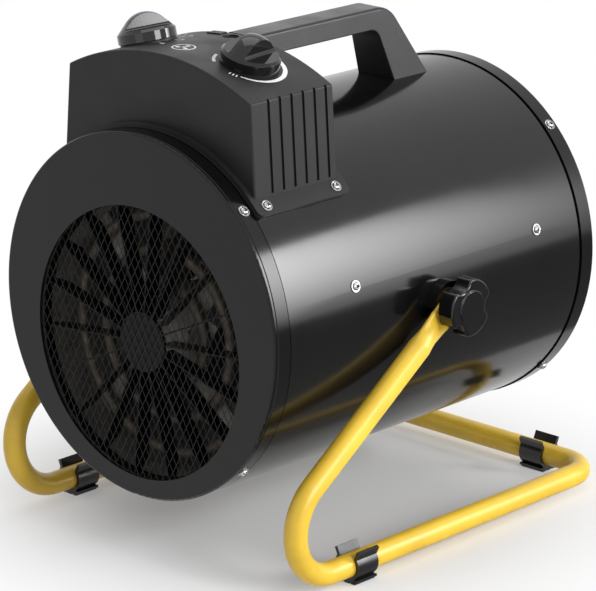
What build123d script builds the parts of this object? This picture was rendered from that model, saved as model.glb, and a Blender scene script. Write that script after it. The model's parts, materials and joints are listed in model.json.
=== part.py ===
from build123d import *
import math
import os

# Portable forced air heater: a round steel casing that tilts in a bent tube stand.
# The model is built in the casing's own frame and moved to the row frame at the end.
#   X  across the heater, +X on the right of someone who stands before the outlet and looks at it
#   Y  along the casing, 0 at the front plate and growing towards the rear
#   Z  up, 0 on the casing's axis

# ---------------------------------------------------------------- casing
barrel_r = 125.0            # outside radius of the casing sheet
sheet = 1.0                 # thickness of the casing sheet
housing_len = 328.0         # front plate to rear plate
front_skirt = 15.0          # depth of the front cap's skirt
rear_skirt = 13.0           # depth of the rear cap's skirt
front_seam = 0.6            # open seam behind the front skirt
rear_seam = 1.8             # open seam ahead of the rear skirt
neck_lap = 9.0              # the casing's stepped neck runs this far under each skirt
neck_fit = 0.1              # radial gap between a neck and its skirt
cap_plate = 1.2             # thickness of the front and rear plates
rim_proud = 0.4             # the front rim stands this far outside the casing
rim_inset = 1.1             # the flat of the front plate ends this far inside the casing
rim_width = 2.6             # depth of the front rim
rim_groove = 0.5            # depth of the groove behind the rim
rear_proud = 0.9            # the rear skirt stands this far outside the casing
seat_gap = 0.3              # gap between a loose piece and its seat
slip = 0.1                  # gap round a piece that is pushed in
hair = 0.02                 # gap round a piece that is pressed or glued in

# ---------------------------------------------------------------- outlet and air path
air_drop = 18.0             # the air path's axis lies this far under the casing's axis
outlet_rim = 13.3           # narrowest part of the front plate, under the outlet
inlet_rim = 9.0             # narrowest part of the rear plate, under the inlet
net_lap = 6.3               # the net reaches this far behind the front plate
net_thick = 1.2
net_pitch_x = 10.0          # width of one diamond with its strand
net_pitch_z = 18.6          # height of one diamond with its strand
net_strand = 1.6            # width of the strands
net_ring_inset = 0.7        # the clamping ring stands back this far from the outlet's edge
net_ring_thick = 1.2
duct_step = 2.3             # the duct is this much larger in radius than the outlet
duct_sheet = 1.0
duct_short = 50.0           # the duct is this much shorter than the housing
duct_flange = 1.0           # the duct's flange reaches this far past the net
rib_count = 18
rib_depth = 12.0
rib_thick = 1.2
rib_hub_r = 20.5
rib_hub_thick = 2.0
rib_root = 3.0              # the ribs start this far inside the hub's edge
rib_phase = 5.0             # turn of the first rib in degrees
rib_heel = 9.0              # slant at each rib's rear outer corner
rib_behind_net = 1.4        # gap between the clamping ring and the ribs

# ---------------------------------------------------------------- heating elements
element_r = 4.0             # radius of the tubular heating element
element_edge = 9.0          # gap between the outer ring and the duct
element_step = 24.0         # from one ring to the next
element_y = 30.0            # plane of the rings
element_gap = 36.0          # opening at the top of each ring, end to end
element_bend = 8.0          # bend from the ring into its leg
element_leg = 26.0          # straight leg behind the bend
terminal_r = 5.5
terminal_len = 12.0
terminal_pin_len = 7.0
terminal_pin_r = 1.8
bar_wide = 14.0             # element carrier arms
bar_thick = 2.0

# ---------------------------------------------------------------- fan and motor
fan_tip_gap = 5.0           # gap between the blade tips and the duct
fan_y = 120.0               # middle plane of the blades
fan_hub_r = 20.0
fan_hub_len = 28.0
blade_count = 5
blade_chord = 60.0
blade_thick = 1.6
blade_root = 4.0            # the blades start this far inside the hub's edge
blade_pitch = 32.0          # degrees
blade_phase = 18.0          # turn of the first blade in degrees
shaft_r = 4.0
shaft_fit = 0.05            # radial running clearance round a shaft
shaft_len = 102.0
shaft_nose = 2.0            # the shaft stands this far out of its nut
fan_nut_len = 6.0
fan_nut_flats = 13.0
motor_r = 42.0
motor_len = 62.0
motor_edge = 4.0            # bevel of the motor's ends
motor_gap = 14.0            # hub to motor face
motor_boss_r = 12.0
motor_boss_len = 4.0
collar_wall = 3.0
collar_len = 24.0
arm_thick = 3.0
arm_inset = 2.0             # the arms are this much shorter than the collar at each end
arm_count = 4

# ---------------------------------------------------------------- thermal cut-out
cutout_r = 8.0
cutout_cup = 7.0
cutout_cap_wide = 12.0
cutout_cap_deep = 6.0
cutout_cap_high = 5.0

# ---------------------------------------------------------------- rear guard
guard_wire = 1.3            # radius of the ring wires
guard_spoke = 1.6           # radius of the straight wires
guard_rings = 9
guard_first = 12.0          # radius of the smallest ring
guard_lap = 3.0             # the largest ring's reach past the inlet's edge
guard_weld = 0.5            # the wires are welded this deep

# ---------------------------------------------------------------- control box
flange_setback = 0.7        # flange behind the front seam
flange_toe = 4.2            # flange ahead of the box's front wall
flange_heel = 4.6           # flange behind the box's rear wall
flange_lap = 8.5            # flange beyond the box's sides
flange_thick = 2.5
flange_round = 4.5          # the flange's corners
gasket = 1.0
box_deep = 78.3             # front wall to rear wall
box_wall = 2.5
box_high = 50.8             # the crown's height over the casing
crown_rise = 20.3           # the crown's height over the shoulders
box_inset = 37.0            # the box's foot lies this far inside the casing's side
side_lean = 4.5             # the shoulders lie this far inside the foot
box_edge = 1.5              # rounding of the box's outer edges
groove_count = 6
groove_setback = 16.5       # front wall to the first groove
groove_pitch = 10.9
groove_wide = 2.4
groove_deep = 1.6
wire_hole = 26.0            # half length of the wiring window under the box
pad_x = -15.5               # blank raised pad on the top
pad_setback = 6.4
pad_long = 12.0
pad_wide = 7.0
pad_high = 0.8

# ---------------------------------------------------------------- knobs and switches
knob_x = 46.5
knob_setback = 38.0         # front wall to the knobs' axes
knob_r = 20.0
knob_lift = 1.0             # gap between the box and the skirt
knob_skirt = 7.0
knob_shoulder_r = 13.3
knob_shoulder = 13.2        # height of the shoulder over the skirt's underside
knob_high = 19.5
grip_half = 6.0
grip_floor = 1.0            # the scooped floor lies this far above the skirt
grip_corner = 2.5           # rounding where the grip meets the scooped floor
knob_skirt_edge = 0.8
knob_bore = 11.0            # depth of the spindle's socket
spindle_r = 3.0
spindle_free = 1.0          # gap round the spindle in the box's wall, and over its end
spindle_below = 12.0        # spindle below the top's outer face
selector_turn = 28.0        # turn of the selector's grip from the Y axis, in degrees
thermostat_turn = -6.0
switch_size = 34.0
switch_deep = 26.0
control_r = 17.0
control_deep = 18.0
reset_setback = 9.3         # rear wall to the reset button
reset_r = 4.0
reset_hole_gap = 0.4        # radial gap between the button and its hole
reset_recess_r = 5.6
reset_recess = 1.0
reset_len = 11.0
reset_low = 1.4             # the button's face lies this far under the top
reset_travel = 1.5
reset_guide_wall = 2.0

# ---------------------------------------------------------------- handle
handle_top_half = 11.5
handle_foot_half = 17.5     # half width at the foot
grip_deep = 14.5            # depth of the level grip
handle_setback = 91.3       # rear plate to the handle's rear corner
handle_lean = 0.6937        # run of the leg's rear edge for each unit of height
handle_leg = 14.3           # rear corner to the leg's inner corner
handle_inner_lean = 0.376   # run of the leg's inner edge for each unit of height
handle_sunk = 6.0           # the leg is drawn this far below the casing's top, then cut to it
handle_round = 22.0
handle_inner_round = 10.0
handle_outer_edge = 2.4     # rounding of the outer long edges
handle_edge = 0.8           # rounding of the inner long edges

# ---------------------------------------------------------------- cable gland
gland_x = -48.0
gland_below = 34.8          # crown to the gland's axis
gland_nut_flats = 22.0
gland_nut_len = 5.0
gland_cap_r = 10.0
gland_cap_len = 14.0
gland_bore_r = 4.6
gland_thread_r = 7.8
gland_thread_free = 1.0     # thread beyond the lock nut
gland_lock_len = 4.0

# ---------------------------------------------------------------- terminal block
block_wide = 16.0
block_long = 54.0
block_gap = 3.0             # wiring window to the block
block_high = 12.0
block_screws = 5
block_screw_r = 2.6
block_screw_pitch = 10.5
block_screw_deep = 8.0

# ---------------------------------------------------------------- screws
screw_head_r = 4.1
screw_head = 2.5
screw_r = 1.9
screw_len = 7.0
screw_fit = 0.15
recess_wide = 0.8           # cross recess
front_screw_inset = 5.4     # the front cap's screws ahead of its skirt's edge
rear_screw_inset = 7.4      # the rear cap's screws ahead of the rear plate
band_screw_angle = 45.0
side_screw_first = 80.5
side_screw_inset = 60.0     # the rear side screws ahead of the rear plate
side_screw_angle = 13.8
flange_screw_inset = 10.5   # the flange's screws inside its ends
bracket_wide = 16.0
bracket_thick = 1.5
bracket_drop = 4.0          # the bracket's web lies this far under its screw

# ---------------------------------------------------------------- stand
tube_r = 8.0
run_gap = 3.1               # the floor runs' axis outside the casing's side
run_drop = 35.3             # the floor runs' axis under the casing
cross_behind = 4.9          # the rear cross run's axis behind the rear plate
corner_r = 24.0             # bends at the rear corners
toe_right = 15.9            # foremost point of the right tube's axis
toe_left = 7.4              # the left front bend reaches further forward
toe_r = 36.6                # the front bends
pivot_ahead = 0.6           # pivot ahead of the housing's middle
pivot_z = 2.8
tab_gap = 10.2              # middle of the flattened tube end outside the casing's side
tab_thick = 3.6
tab_half = 10.2
tab_flat = 16.2             # length of the flat before the pivot
tab_taper = 24.0            # length over which the tube is pressed flat
stud_r = 4.0
stud_hole_fit = 0.1

# ---------------------------------------------------------------- foot clips
clip_len = 20.0
clip_wall = 2.5
clip_fit = 0.05
clip_mouth = 40.0           # angle from level at which the clip opens
clip_lip = 6.6              # length of each lip
clip_lip_lean = 24.0        # lean of each lip from upright
clip_pad_half = 9.2
clip_foot_half = 7.2
clip_foot_drop = 12.0       # foot below the tube's axis
clip_step = 1.7
clip_groove = 0.8           # depth of the grooves in the foot
clip_groove_wide = 1.4
clip_groove_x = 3.0
clip_front_right = 78.0     # y of the clips on the side runs
clip_front_left = 67.5
clip_rear_x = 78.3

# ---------------------------------------------------------------- clamp pivots
spacer_r = 15.0
nut_r = 11.0
nut_len = 9.0
washer_r = 9.5
washer_thick = 1.2
clamp_lobe_r = 20.0
clamp_waist_r = 14.5
clamp_scoop_r = 8.5
clamp_lobe_round = 3.0
clamp_thick = 12.5
clamp_hub_r = 9.0
clamp_hub_len = 1.0
clamp_cap_r = 12.0
clamp_cap = 1.0
clamp_edge = 1.6
clamp_socket = 7.5          # depth of the stud in the knob
clamp_turn = -4.0           # turn of the knob in degrees

# ---------------------------------------------------------------- worked out sizes
barrel_in = barrel_r - sheet
front_edge = front_skirt + front_seam
rear_skirt_y = housing_len - rear_skirt
rear_edge = rear_skirt_y - rear_seam
front_screw_y = front_skirt - front_screw_inset
rear_screw_y = housing_len - rear_screw_inset
side_screws = (side_screw_first, housing_len - side_screw_inset)

outlet_r = barrel_r - air_drop - outlet_rim
inlet_r = barrel_r - air_drop - inlet_rim
net_r = outlet_r + net_lap
net_y = cap_plate
net_ring_in = outlet_r + net_ring_inset
net_ring_y = net_y + net_thick
duct_y = net_ring_y + net_ring_thick
duct_r = outlet_r + duct_step
duct_in = duct_r - duct_sheet
duct_len = housing_len - duct_short
rib_y = duct_y + rib_behind_net
element_outer = duct_in - element_edge - element_r
bar_y = element_y + element_r + seat_gap
fan_r = duct_in - fan_tip_gap
hub_front = fan_y - fan_hub_len / 2
hub_rear = fan_y + fan_hub_len / 2
motor_y = hub_rear + motor_gap
shaft_y = hub_front - fan_nut_len - shaft_nose

flange_front = front_edge + flange_setback
box_front = flange_front + flange_toe
box_rear = box_front + box_deep
flange_rear = box_rear + flange_heel
gasket_out = barrel_r + gasket
flange_out = gasket_out + flange_thick
box_foot_half = barrel_r - box_inset
box_top_half = box_foot_half - side_lean
box_crown = barrel_r + box_high
box_shoulder = box_crown - crown_rise
top_radius = (box_top_half ** 2 + crown_rise ** 2) / (2 * crown_rise)
top_centre_z = box_crown - top_radius
flange_angle = math.degrees(math.acos((box_foot_half + flange_lap) / flange_out))
flange_screw_angle = math.degrees(math.acos((box_foot_half + flange_lap / 2) / flange_out))
flange_screws = (flange_front + flange_screw_inset, flange_rear - flange_screw_inset)
knob_y = box_front + knob_setback
reset_y = box_rear - reset_setback
gland_z = box_crown - gland_below

handle_under = box_crown - grip_deep
handle_low = barrel_r - handle_sunk
handle_top_y = housing_len - handle_setback

run_x = barrel_r + run_gap
run_z = -barrel_r - run_drop
cross_y = housing_len + cross_behind
pivot_y = housing_len / 2 - pivot_ahead
tab_x = barrel_r + tab_gap
spacer_face = tab_x - tab_thick / 2 - seat_gap
washer_x = tab_x + tab_thick / 2 + seat_gap
clamp_x = washer_x + washer_thick
clamp_back = clamp_x + clamp_hub_len
foot_z = run_z - clip_foot_drop
clip_middle = tube_r + clip_fit + clip_wall / 2
clip_lean = math.radians(clip_lip_lean)
clip_reach = (clip_middle * math.cos(math.radians(clip_mouth)) + clip_lip * math.sin(clip_lean)
              + clip_wall / 2 * math.cos(clip_lean))
front_most = min(0.0, toe_right - tube_r, toe_left - tube_r)
rear_most = cross_y + max(clip_reach, clip_middle + clip_wall / 2)
row_origin = (0.0, (front_most + rear_most) / 2, foot_z)


# ---------------------------------------------------------------- helpers
def turned(points, drop=0.0):
    """A ring or disc about the Y axis from (radius, y) corners, lowered by drop."""
    face = make_face(Polyline(*[(r, y) for r, y in points], close=True))
    return Pos(0, 0, -drop) * revolve(face, Axis.Y)


def tube_y(outer, inner, y0, y1, drop=0.0):
    """A plain ring or tube along Y."""
    return turned([(inner, y0), (outer, y0), (outer, y1), (inner, y1)], drop)


def disc_y(radius, y0, y1, x=0.0, z=0.0):
    """A round bar along Y."""
    return Pos(x, (y0 + y1) / 2, z) * Rot(90, 0, 0) * Cylinder(radius, y1 - y0)


def bar_x(radius, x0, x1, y=0.0, z=0.0):
    """A round bar along X."""
    return Pos((x0 + x1) / 2, y, z) * Rot(0, 90, 0) * Cylinder(radius, abs(x1 - x0))


def block(x0, x1, y0, y1, z0, z1):
    """A box from its limits."""
    return Pos((x0 + x1) / 2, (y0 + y1) / 2, (z0 + z1) / 2) * Box(x1 - x0, y1 - y0, z1 - z0)


def prism_y(points, y0, y1):
    """A prism along Y from (x, z) corners."""
    face = make_face(Polyline(*[(x, 0, z) for x, z in points], close=True))
    return Pos(0, y0, 0) * extrude(face, amount=y1 - y0, dir=(0, 1, 0))


def round_the_axis(y, degrees):
    """Place whose X axis points outwards at an angle above the right-hand side."""
    return Pos(0, y, 0) * Rot(0, -degrees, 0)


def on_top(x, y, height=0.0):
    """Place on the arched top of the control box, with Z square to the top."""
    lean = math.degrees(math.asin(x / top_radius))
    return Pos(0, y, top_centre_z) * Rot(0, lean, 0) * Pos(0, 0, top_radius + height)


def mirrored(part):
    """The same piece on the other side of the heater."""
    return mirror(part, about=Plane.YZ)


# ---------------------------------------------------------------- casing pieces
def screw_places():
    """Every casing screw by group: y, angle and the radius its head sits on."""
    corners = [band_screw_angle + 90 * i for i in range(4)]
    sides = (side_screw_angle, 180 - side_screw_angle)
    lugs = (flange_screw_angle, 180 - flange_screw_angle)
    return {
        "front_band_screws": [(front_screw_y, a, barrel_r) for a in corners],
        "rear_band_screws": [(rear_screw_y, a, barrel_r + rear_proud) for a in corners],
        "casing_side_screws": [(y, a, barrel_r) for y in side_screws for a in sides],
        "flange_screws": [(y, a, flange_out) for y in flange_screws for a in lugs],
    }


def drilled(part, *groups):
    """Cuts the clearance holes of the named screw groups."""
    for group in groups:
        for y, angle, seat in screw_places()[group]:
            hole = bar_x(screw_r + screw_fit, seat - 2 * screw_len, seat + screw_head)
            part -= round_the_axis(y, angle) * hole
    return part


def screw():
    """A pan head screw along X, with its head's underside at 0."""
    body = make_face(
        Polyline((screw_head, 0), (-screw_len, 0), (-screw_len, screw_r), (0, screw_r),
                 (0, screw_head_r), (screw_head * 0.35, screw_head_r))
        + ThreePointArc((screw_head * 0.35, screw_head_r),
                        (screw_head * 0.83, screw_head_r * 0.6), (screw_head, 0)))
    solid = revolve(body, Axis.X)
    for turn in (0, 90):
        solid -= Rot(turn, 0, 0) * Pos(screw_head, 0, 0) * Box(screw_head, screw_head_r * 1.1, recess_wide)
    return solid


def screws(group):
    """The screws of one group as separate solids."""
    return Compound([round_the_axis(y, a) * Pos(seat, 0, 0) * screw()
                     for y, a, seat in screw_places()[group]])


def make_casing():
    """Rolled casing with a stepped neck at each end for the caps."""
    neck_out = barrel_in - neck_fit
    neck_in = neck_out - sheet
    shell = turned([
        (neck_in, front_edge - neck_lap), (neck_out, front_edge - neck_lap),
        (neck_out, front_edge), (barrel_r, front_edge),
        (barrel_r, rear_edge), (neck_out, rear_edge),
        (neck_out, rear_edge + neck_lap), (neck_in, rear_edge + neck_lap),
        (neck_in, rear_edge - sheet), (barrel_in, rear_edge - sheet),
        (barrel_in, front_edge + sheet), (neck_in, front_edge + sheet)])
    for side in (-1, 1):
        shell -= bar_x(stud_r + spindle_free, side * barrel_in / 2, side * 2 * barrel_r, pivot_y, pivot_z)
    middle = (box_front + box_rear) / 2
    front, rear = middle - wire_hole, middle + wire_hole
    shell -= block(-wire_hole, wire_hole, front, rear, barrel_r / 2, 2 * barrel_r)
    return drilled(shell, "front_band_screws", "rear_band_screws", "casing_side_screws", "flange_screws")


def make_front_cap():
    """Front plate with its rolled rim, skirt and low outlet opening."""
    rim = barrel_r + rim_proud
    outline = (
        Polyline((0, cap_plate), (0, 0), (barrel_r - rim_inset, 0))
        + ThreePointArc((barrel_r - rim_inset, 0), (rim - 0.45, 0.45), (rim, rim_inset + rim_proud))
        + Polyline((rim, rim_inset + rim_proud), (rim, rim_width), (barrel_r - rim_groove, rim_width + 0.7),
                   (barrel_r - rim_groove, rim_width + 1.3), (barrel_r, rim_width + 1.8),
                   (barrel_r, front_skirt), (barrel_in, front_skirt), (barrel_in, cap_plate),
                   (0, cap_plate)))
    cap = revolve(make_face(outline), Axis.Y)
    cap -= disc_y(outlet_r, -1, cap_plate + 1, z=-air_drop)
    return drilled(cap, "front_band_screws")


def make_rear_cap():
    """Rear plate with its skirt and the air inlet."""
    out = barrel_r + rear_proud
    cap = turned([
        (0, housing_len), (out - 1.0, housing_len), (out, housing_len - 1.0),
        (out, rear_skirt_y), (barrel_in, rear_skirt_y),
        (barrel_in, housing_len - cap_plate), (0, housing_len - cap_plate)])
    cap -= disc_y(inlet_r, housing_len - rear_skirt, housing_len + 1, z=-air_drop)
    return drilled(cap, "rear_band_screws")


def make_outlet_net():
    """Flat net: one face with rows of diamond gaps."""
    wide = net_pitch_x / 2 - net_strand / 2
    high = net_pitch_z / 2 - net_strand * net_pitch_z / net_pitch_x / 2
    reach = net_ring_in + net_strand
    gaps = []
    columns = int(reach / net_pitch_x) * 2 + 2
    rows = int(reach / net_pitch_z) * 2 + 2
    for column in range(-columns, columns + 1):
        for row in range(-rows, rows + 1):
            if (column + row) % 2:
                continue
            x, z = column * net_pitch_x / 2, row * net_pitch_z / 2
            corners = [(x - wide, z), (x, z - high), (x + wide, z), (x, z + high)]
            if max(math.hypot(*c) for c in corners) < reach:
                gaps.append(Wire(Polyline(*[(u, 0, v) for u, v in corners], close=True).edges()))
    rim = Wire([Edge.make_circle(net_r, Plane.XZ)])
    net = extrude(Face(rim, gaps), amount=net_thick, dir=(0, 1, 0))
    print("outlet net gaps", len(gaps))
    return Pos(0, net_y, -air_drop) * net


def make_net_ring():
    """Ring that clamps the net behind the front plate."""
    return tube_y(net_r, net_ring_in, net_ring_y, net_ring_y + net_ring_thick, air_drop)


def make_duct():
    """Inner heat duct with its front flange."""
    end = duct_y + duct_len
    duct = turned([
        (duct_in, duct_y), (net_r + duct_flange, duct_y), (net_r + duct_flange, duct_y + duct_sheet),
        (duct_r, duct_y + duct_sheet), (duct_r, end), (duct_in, end)], air_drop)
    return duct


def make_rib_guard():
    """Hub with thin radial ribs that straighten the air behind the net."""
    ring_out = duct_in - seat_gap
    ring_in = ring_out - rib_thick
    guard = tube_y(ring_out, ring_in, rib_y, rib_y + rib_depth / 2)
    guard += disc_y(rib_hub_r, rib_y, rib_y + rib_hub_thick)
    start = rib_hub_r - rib_root
    tip = (ring_out + ring_in) / 2
    side = [(start, rib_y), (tip, rib_y), (tip, rib_y + rib_depth / 2),
            (ring_in - rib_heel, rib_y + rib_depth), (start, rib_y + rib_depth)]
    rib = extrude(make_face(Polyline(*side, close=True)), amount=rib_thick / 2, both=True)
    ribs = [Rot(0, -(rib_phase + i * 360 / rib_count), 0) * rib for i in range(rib_count)]
    return Pos(0, 0, -air_drop) * (guard + ribs)


def make_element(radius):
    """One tubular element: an open ring whose ends bend back into straight legs."""
    half = math.asin(element_gap / 2 / radius)
    up = Vector(0, 1, 0)

    def end(side):
        angle = math.pi / 2 + side * half
        point = Vector(radius * math.cos(angle), element_y, radius * math.sin(angle))
        along = Vector(math.sin(angle), 0, -math.cos(angle)) * side
        bend = [point, point + along * (element_bend * math.sin(math.pi / 4))
                + up * (element_bend * (1 - math.cos(math.pi / 4))), point + (along + up) * element_bend]
        return bend, bend[2] + up * element_leg

    left, left_tip = end(1)
    right, right_tip = end(-1)
    low = Vector(0, element_y, -radius)
    path = Wire([
        Line(left_tip, left[2]).edge(), ThreePointArc(left[2], left[1], left[0]).edge(),
        ThreePointArc(left[0], low, right[0]).edge(),
        ThreePointArc(right[0], right[1], right[2]).edge(), Line(right[2], right_tip).edge()])
    section = Plane(origin=left_tip, x_dir=(1, 0, 0), z_dir=(0, -1, 0)) * Circle(element_r)
    bar = sweep(section, path=path)
    ends = [left_tip, right_tip]
    return Pos(0, 0, -air_drop) * bar, [Pos(0, 0, -air_drop) * Pos(e) for e in ends]


def make_terminals(ends):
    """Ceramic ends with their threaded pins, one on each leg."""
    beads = []
    for place in ends:
        bead = disc_y(terminal_r, 0, terminal_len)
        bead += disc_y(terminal_pin_r, terminal_len, terminal_len + terminal_pin_len)
        beads.append(place * bead)
    return Compound(beads)


def make_element_carrier():
    """Four flat arms across the duct that carry the element rings."""
    reach = duct_in - seat_gap
    carrier = disc_y(bar_wide, bar_y, bar_y + bar_thick)
    arm = block(0, duct_r, bar_y, bar_y + bar_thick, -bar_wide / 2, bar_wide / 2)
    carrier += [Rot(0, -(45 + 90 * i), 0) * arm for i in range(4)]
    carrier &= disc_y(reach, bar_y, bar_y + bar_thick)
    return Pos(0, 0, -air_drop) * carrier


def make_duct_brackets():
    """Bent plates from the casing's side screws to the duct."""
    plates = []
    half = bracket_wide / 2
    low = -bracket_drop - bracket_thick / 2
    for y in side_screws:
        front, rear = y - bracket_wide, y + bracket_wide
        for angle in (side_screw_angle, 180 - side_screw_angle):
            pad = round_the_axis(y, angle) * block(barrel_r / 2, barrel_r, -half, half, -half, half)
            pad &= tube_y(barrel_in - slip, barrel_in - slip - bracket_thick, front, rear)
            x = barrel_in * math.cos(math.radians(angle))
            z = barrel_in * math.sin(math.radians(angle)) + air_drop
            web = Pos(0, y, -air_drop) * Rot(0, -math.degrees(math.atan2(z, x)), 0) * block(
                duct_in, barrel_r + air_drop, low, low + bracket_thick, -half, half)
            web &= disc_y(barrel_in - slip - bracket_thick / 2, front, rear)
            web -= disc_y(duct_r, front, rear, z=-air_drop)
            plates.append(drilled(pad + web, "casing_side_screws"))
    return Compound(plates)


# ---------------------------------------------------------------- fan and motor pieces
def make_fan():
    """Axial impeller with flat pitched blades on a hub."""
    hub = disc_y(fan_hub_r, hub_front, hub_rear)
    blade = Pos(0, fan_y, 0) * Rot(blade_pitch, 0, 0) * block(
        fan_hub_r - blade_root, duct_r, -blade_thick / 2, blade_thick / 2,
        -blade_chord / 2, blade_chord / 2)
    blades = [Rot(0, -(blade_phase + i * 360 / blade_count), 0) * blade for i in range(blade_count)]
    swept = blade_chord * math.sin(math.radians(blade_pitch)) / 2 + blade_thick
    fan = (hub + blades) & disc_y(fan_r, fan_y - swept, fan_y + swept)
    fan -= disc_y(shaft_r + shaft_fit / 2, hub_front - 1, hub_rear + 1)
    return Pos(0, 0, -air_drop) * fan


def make_fan_nut():
    """Hexagon nut that holds the hub on its shaft."""
    nut = extrude(Plane.XZ * RegularPolygon(fan_nut_flats / 2, 6, major_radius=False), amount=-fan_nut_len)
    nut = Pos(0, hub_front - fan_nut_len, 0) * nut
    nut -= disc_y(shaft_r + shaft_fit / 2, shaft_y, hub_front + 1)
    return Pos(0, 0, -air_drop) * nut


def make_shaft():
    """Motor shaft."""
    return disc_y(shaft_r, shaft_y, shaft_y + shaft_len, z=-air_drop)


def make_motor():
    """Closed motor with a bored front boss."""
    end = motor_y + motor_len
    body = turned([
        (0, motor_y - motor_boss_len), (motor_boss_r, motor_y - motor_boss_len), (motor_boss_r, motor_y),
        (motor_r - motor_edge, motor_y), (motor_r, motor_y + motor_edge), (motor_r, end - motor_edge),
        (motor_r - motor_edge, end), (0, end)])
    body -= disc_y(shaft_r + shaft_fit, motor_y - motor_boss_len - 1, shaft_y + shaft_len + 1)
    return Pos(0, 0, -air_drop) * body


def make_motor_mount():
    """Collar and arms that hold the motor in the middle of the duct."""
    y0 = motor_y + (motor_len - collar_len) / 2
    inner = motor_r + shaft_fit
    mount = tube_y(inner + collar_wall, inner, y0, y0 + collar_len)
    arm = block(inner + collar_wall / 2, duct_in - seat_gap, y0 + arm_inset, y0 + collar_len - arm_inset,
                -arm_thick / 2, arm_thick / 2)
    mount += [Rot(0, -(45 + i * 360 / arm_count), 0) * arm for i in range(arm_count)]
    return Pos(0, 0, -air_drop) * mount


def make_cutout():
    """Thermal cut-out that sits on top of the duct, under the control box."""
    seat = duct_r - air_drop + seat_gap
    y = element_y + element_leg
    cup = Pos(0, y, seat + cutout_cup / 2) * Cylinder(cutout_r, cutout_cup)
    half = cutout_cap_wide / 2, cutout_cap_deep / 2
    return cup + block(-half[0], half[0], y - half[1], y + half[1], seat + cutout_cup / 2,
                       seat + cutout_cup + cutout_cap_high)


# ---------------------------------------------------------------- rear guard
def make_rear_guard():
    """Welded wire guard inside the rear opening."""
    y = housing_len - cap_plate - guard_wire
    last = inlet_r + guard_lap
    step = (last - guard_first) / (guard_rings - 1)
    rings = []
    for i in range(guard_rings):
        ring = Pos(0, y, 0) * Rot(90, 0, 0) * Torus(guard_first + i * step, guard_wire)
        rings.append(ring)
    spoke_y = y - guard_wire - guard_spoke + guard_weld
    guard = disc_y(guard_first, y - guard_wire, y + guard_wire)
    for i in range(3):
        guard += Rot(0, 60 * i + 30, 0) * bar_x(guard_spoke, -last, last, spoke_y)
    return Pos(0, 0, -air_drop) * (guard + rings)


# ---------------------------------------------------------------- control box pieces
def box_side(z):
    """Half width of the control box at a height."""
    foot_z = math.sqrt(flange_out ** 2 - box_foot_half ** 2)
    return box_top_half + side_lean * (box_shoulder - z) / (box_shoulder - foot_z)


def box_outline(inset, y0, y1):
    """Arched prism of the control box, drawn in by inset."""
    shoulder, low = box_top_half - inset, barrel_r / 2
    z = top_centre_z + math.sqrt((top_radius - inset) ** 2 - shoulder ** 2)
    foot = box_side(low) - inset
    lines = Polyline((shoulder, 0, z), (foot, 0, low), (-foot, 0, low), (-shoulder, 0, z))
    arch = ThreePointArc((-shoulder, 0, z), (0, 0, box_crown - inset), (shoulder, 0, z))
    return Pos(0, y0, 0) * extrude(make_face(lines + arch), amount=y1 - y0, dir=(0, 1, 0))


def flange_sector(inner, outer):
    """Part of a ring that follows the casing under the control box."""
    angle = math.radians(flange_angle)
    far = 2 * outer
    x, z = far * math.cos(angle), far * math.sin(angle)
    wedge = prism_y([(0, 0), (x, z), (0, far * 2), (-x, z)], flange_front, flange_rear)
    sector = tube_y(outer, inner, flange_front, flange_rear) & wedge
    corners = [edge for edge in sector.edges() if abs(edge.length - outer + inner) < hair / 2]
    return fillet(corners, flange_round)


def make_control_box():
    """Moulded box: arched top, ribbed sides and a curved flange."""
    hollow = box_outline(box_wall, box_front + box_wall, box_rear - box_wall)
    shell = box_outline(0, box_front, box_rear)
    shell = fillet([e for e in shell.edges() if e.center().Z > barrel_r / 2 + box_edge], box_edge)
    shell -= disc_y(gasket_out, flange_front, flange_rear)
    shell += flange_sector(gasket_out, flange_out)
    shell -= hollow
    low, high = math.sqrt(flange_out ** 2 - box_foot_half ** 2) + box_edge, box_crown
    for i in range(groove_count):
        y = box_front + groove_setback + i * groove_pitch
        corners = [(box_side(low) + groove_deep, low), (box_side(high) + groove_deep, high),
                   (box_side(high) - groove_deep, high), (box_side(low) - groove_deep, low)]
        cutter = prism_y(corners, y - groove_wide / 2, y + groove_wide / 2)
        shell -= cutter
        shell -= mirrored(cutter)
    for side in (-1, 1):
        shell -= on_top(side * knob_x, knob_y) * Cylinder(spindle_r + spindle_free, 4 * box_wall)
    shell -= on_top(0, reset_y) * Cylinder(reset_r + reset_hole_gap, 4 * box_wall)
    shell -= on_top(0, reset_y) * Cylinder(reset_recess_r, 2 * reset_recess)
    pad = Box(pad_long, pad_wide, pad_high + box_wall)
    shell += on_top(pad_x, box_rear - pad_setback, (pad_high - box_wall) / 2) * pad
    shell -= disc_y(gland_thread_r + slip, box_rear - 2 * box_wall, box_rear + box_wall, gland_x, gland_z)
    return drilled(shell, "flange_screws")


def make_gasket():
    """Rubber gasket between the flange and the casing."""
    seal = flange_sector(barrel_r + hair, gasket_out)
    seal -= box_outline(box_wall, box_front + box_wall, box_rear - box_wall)
    return drilled(seal, "flange_screws")


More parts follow.
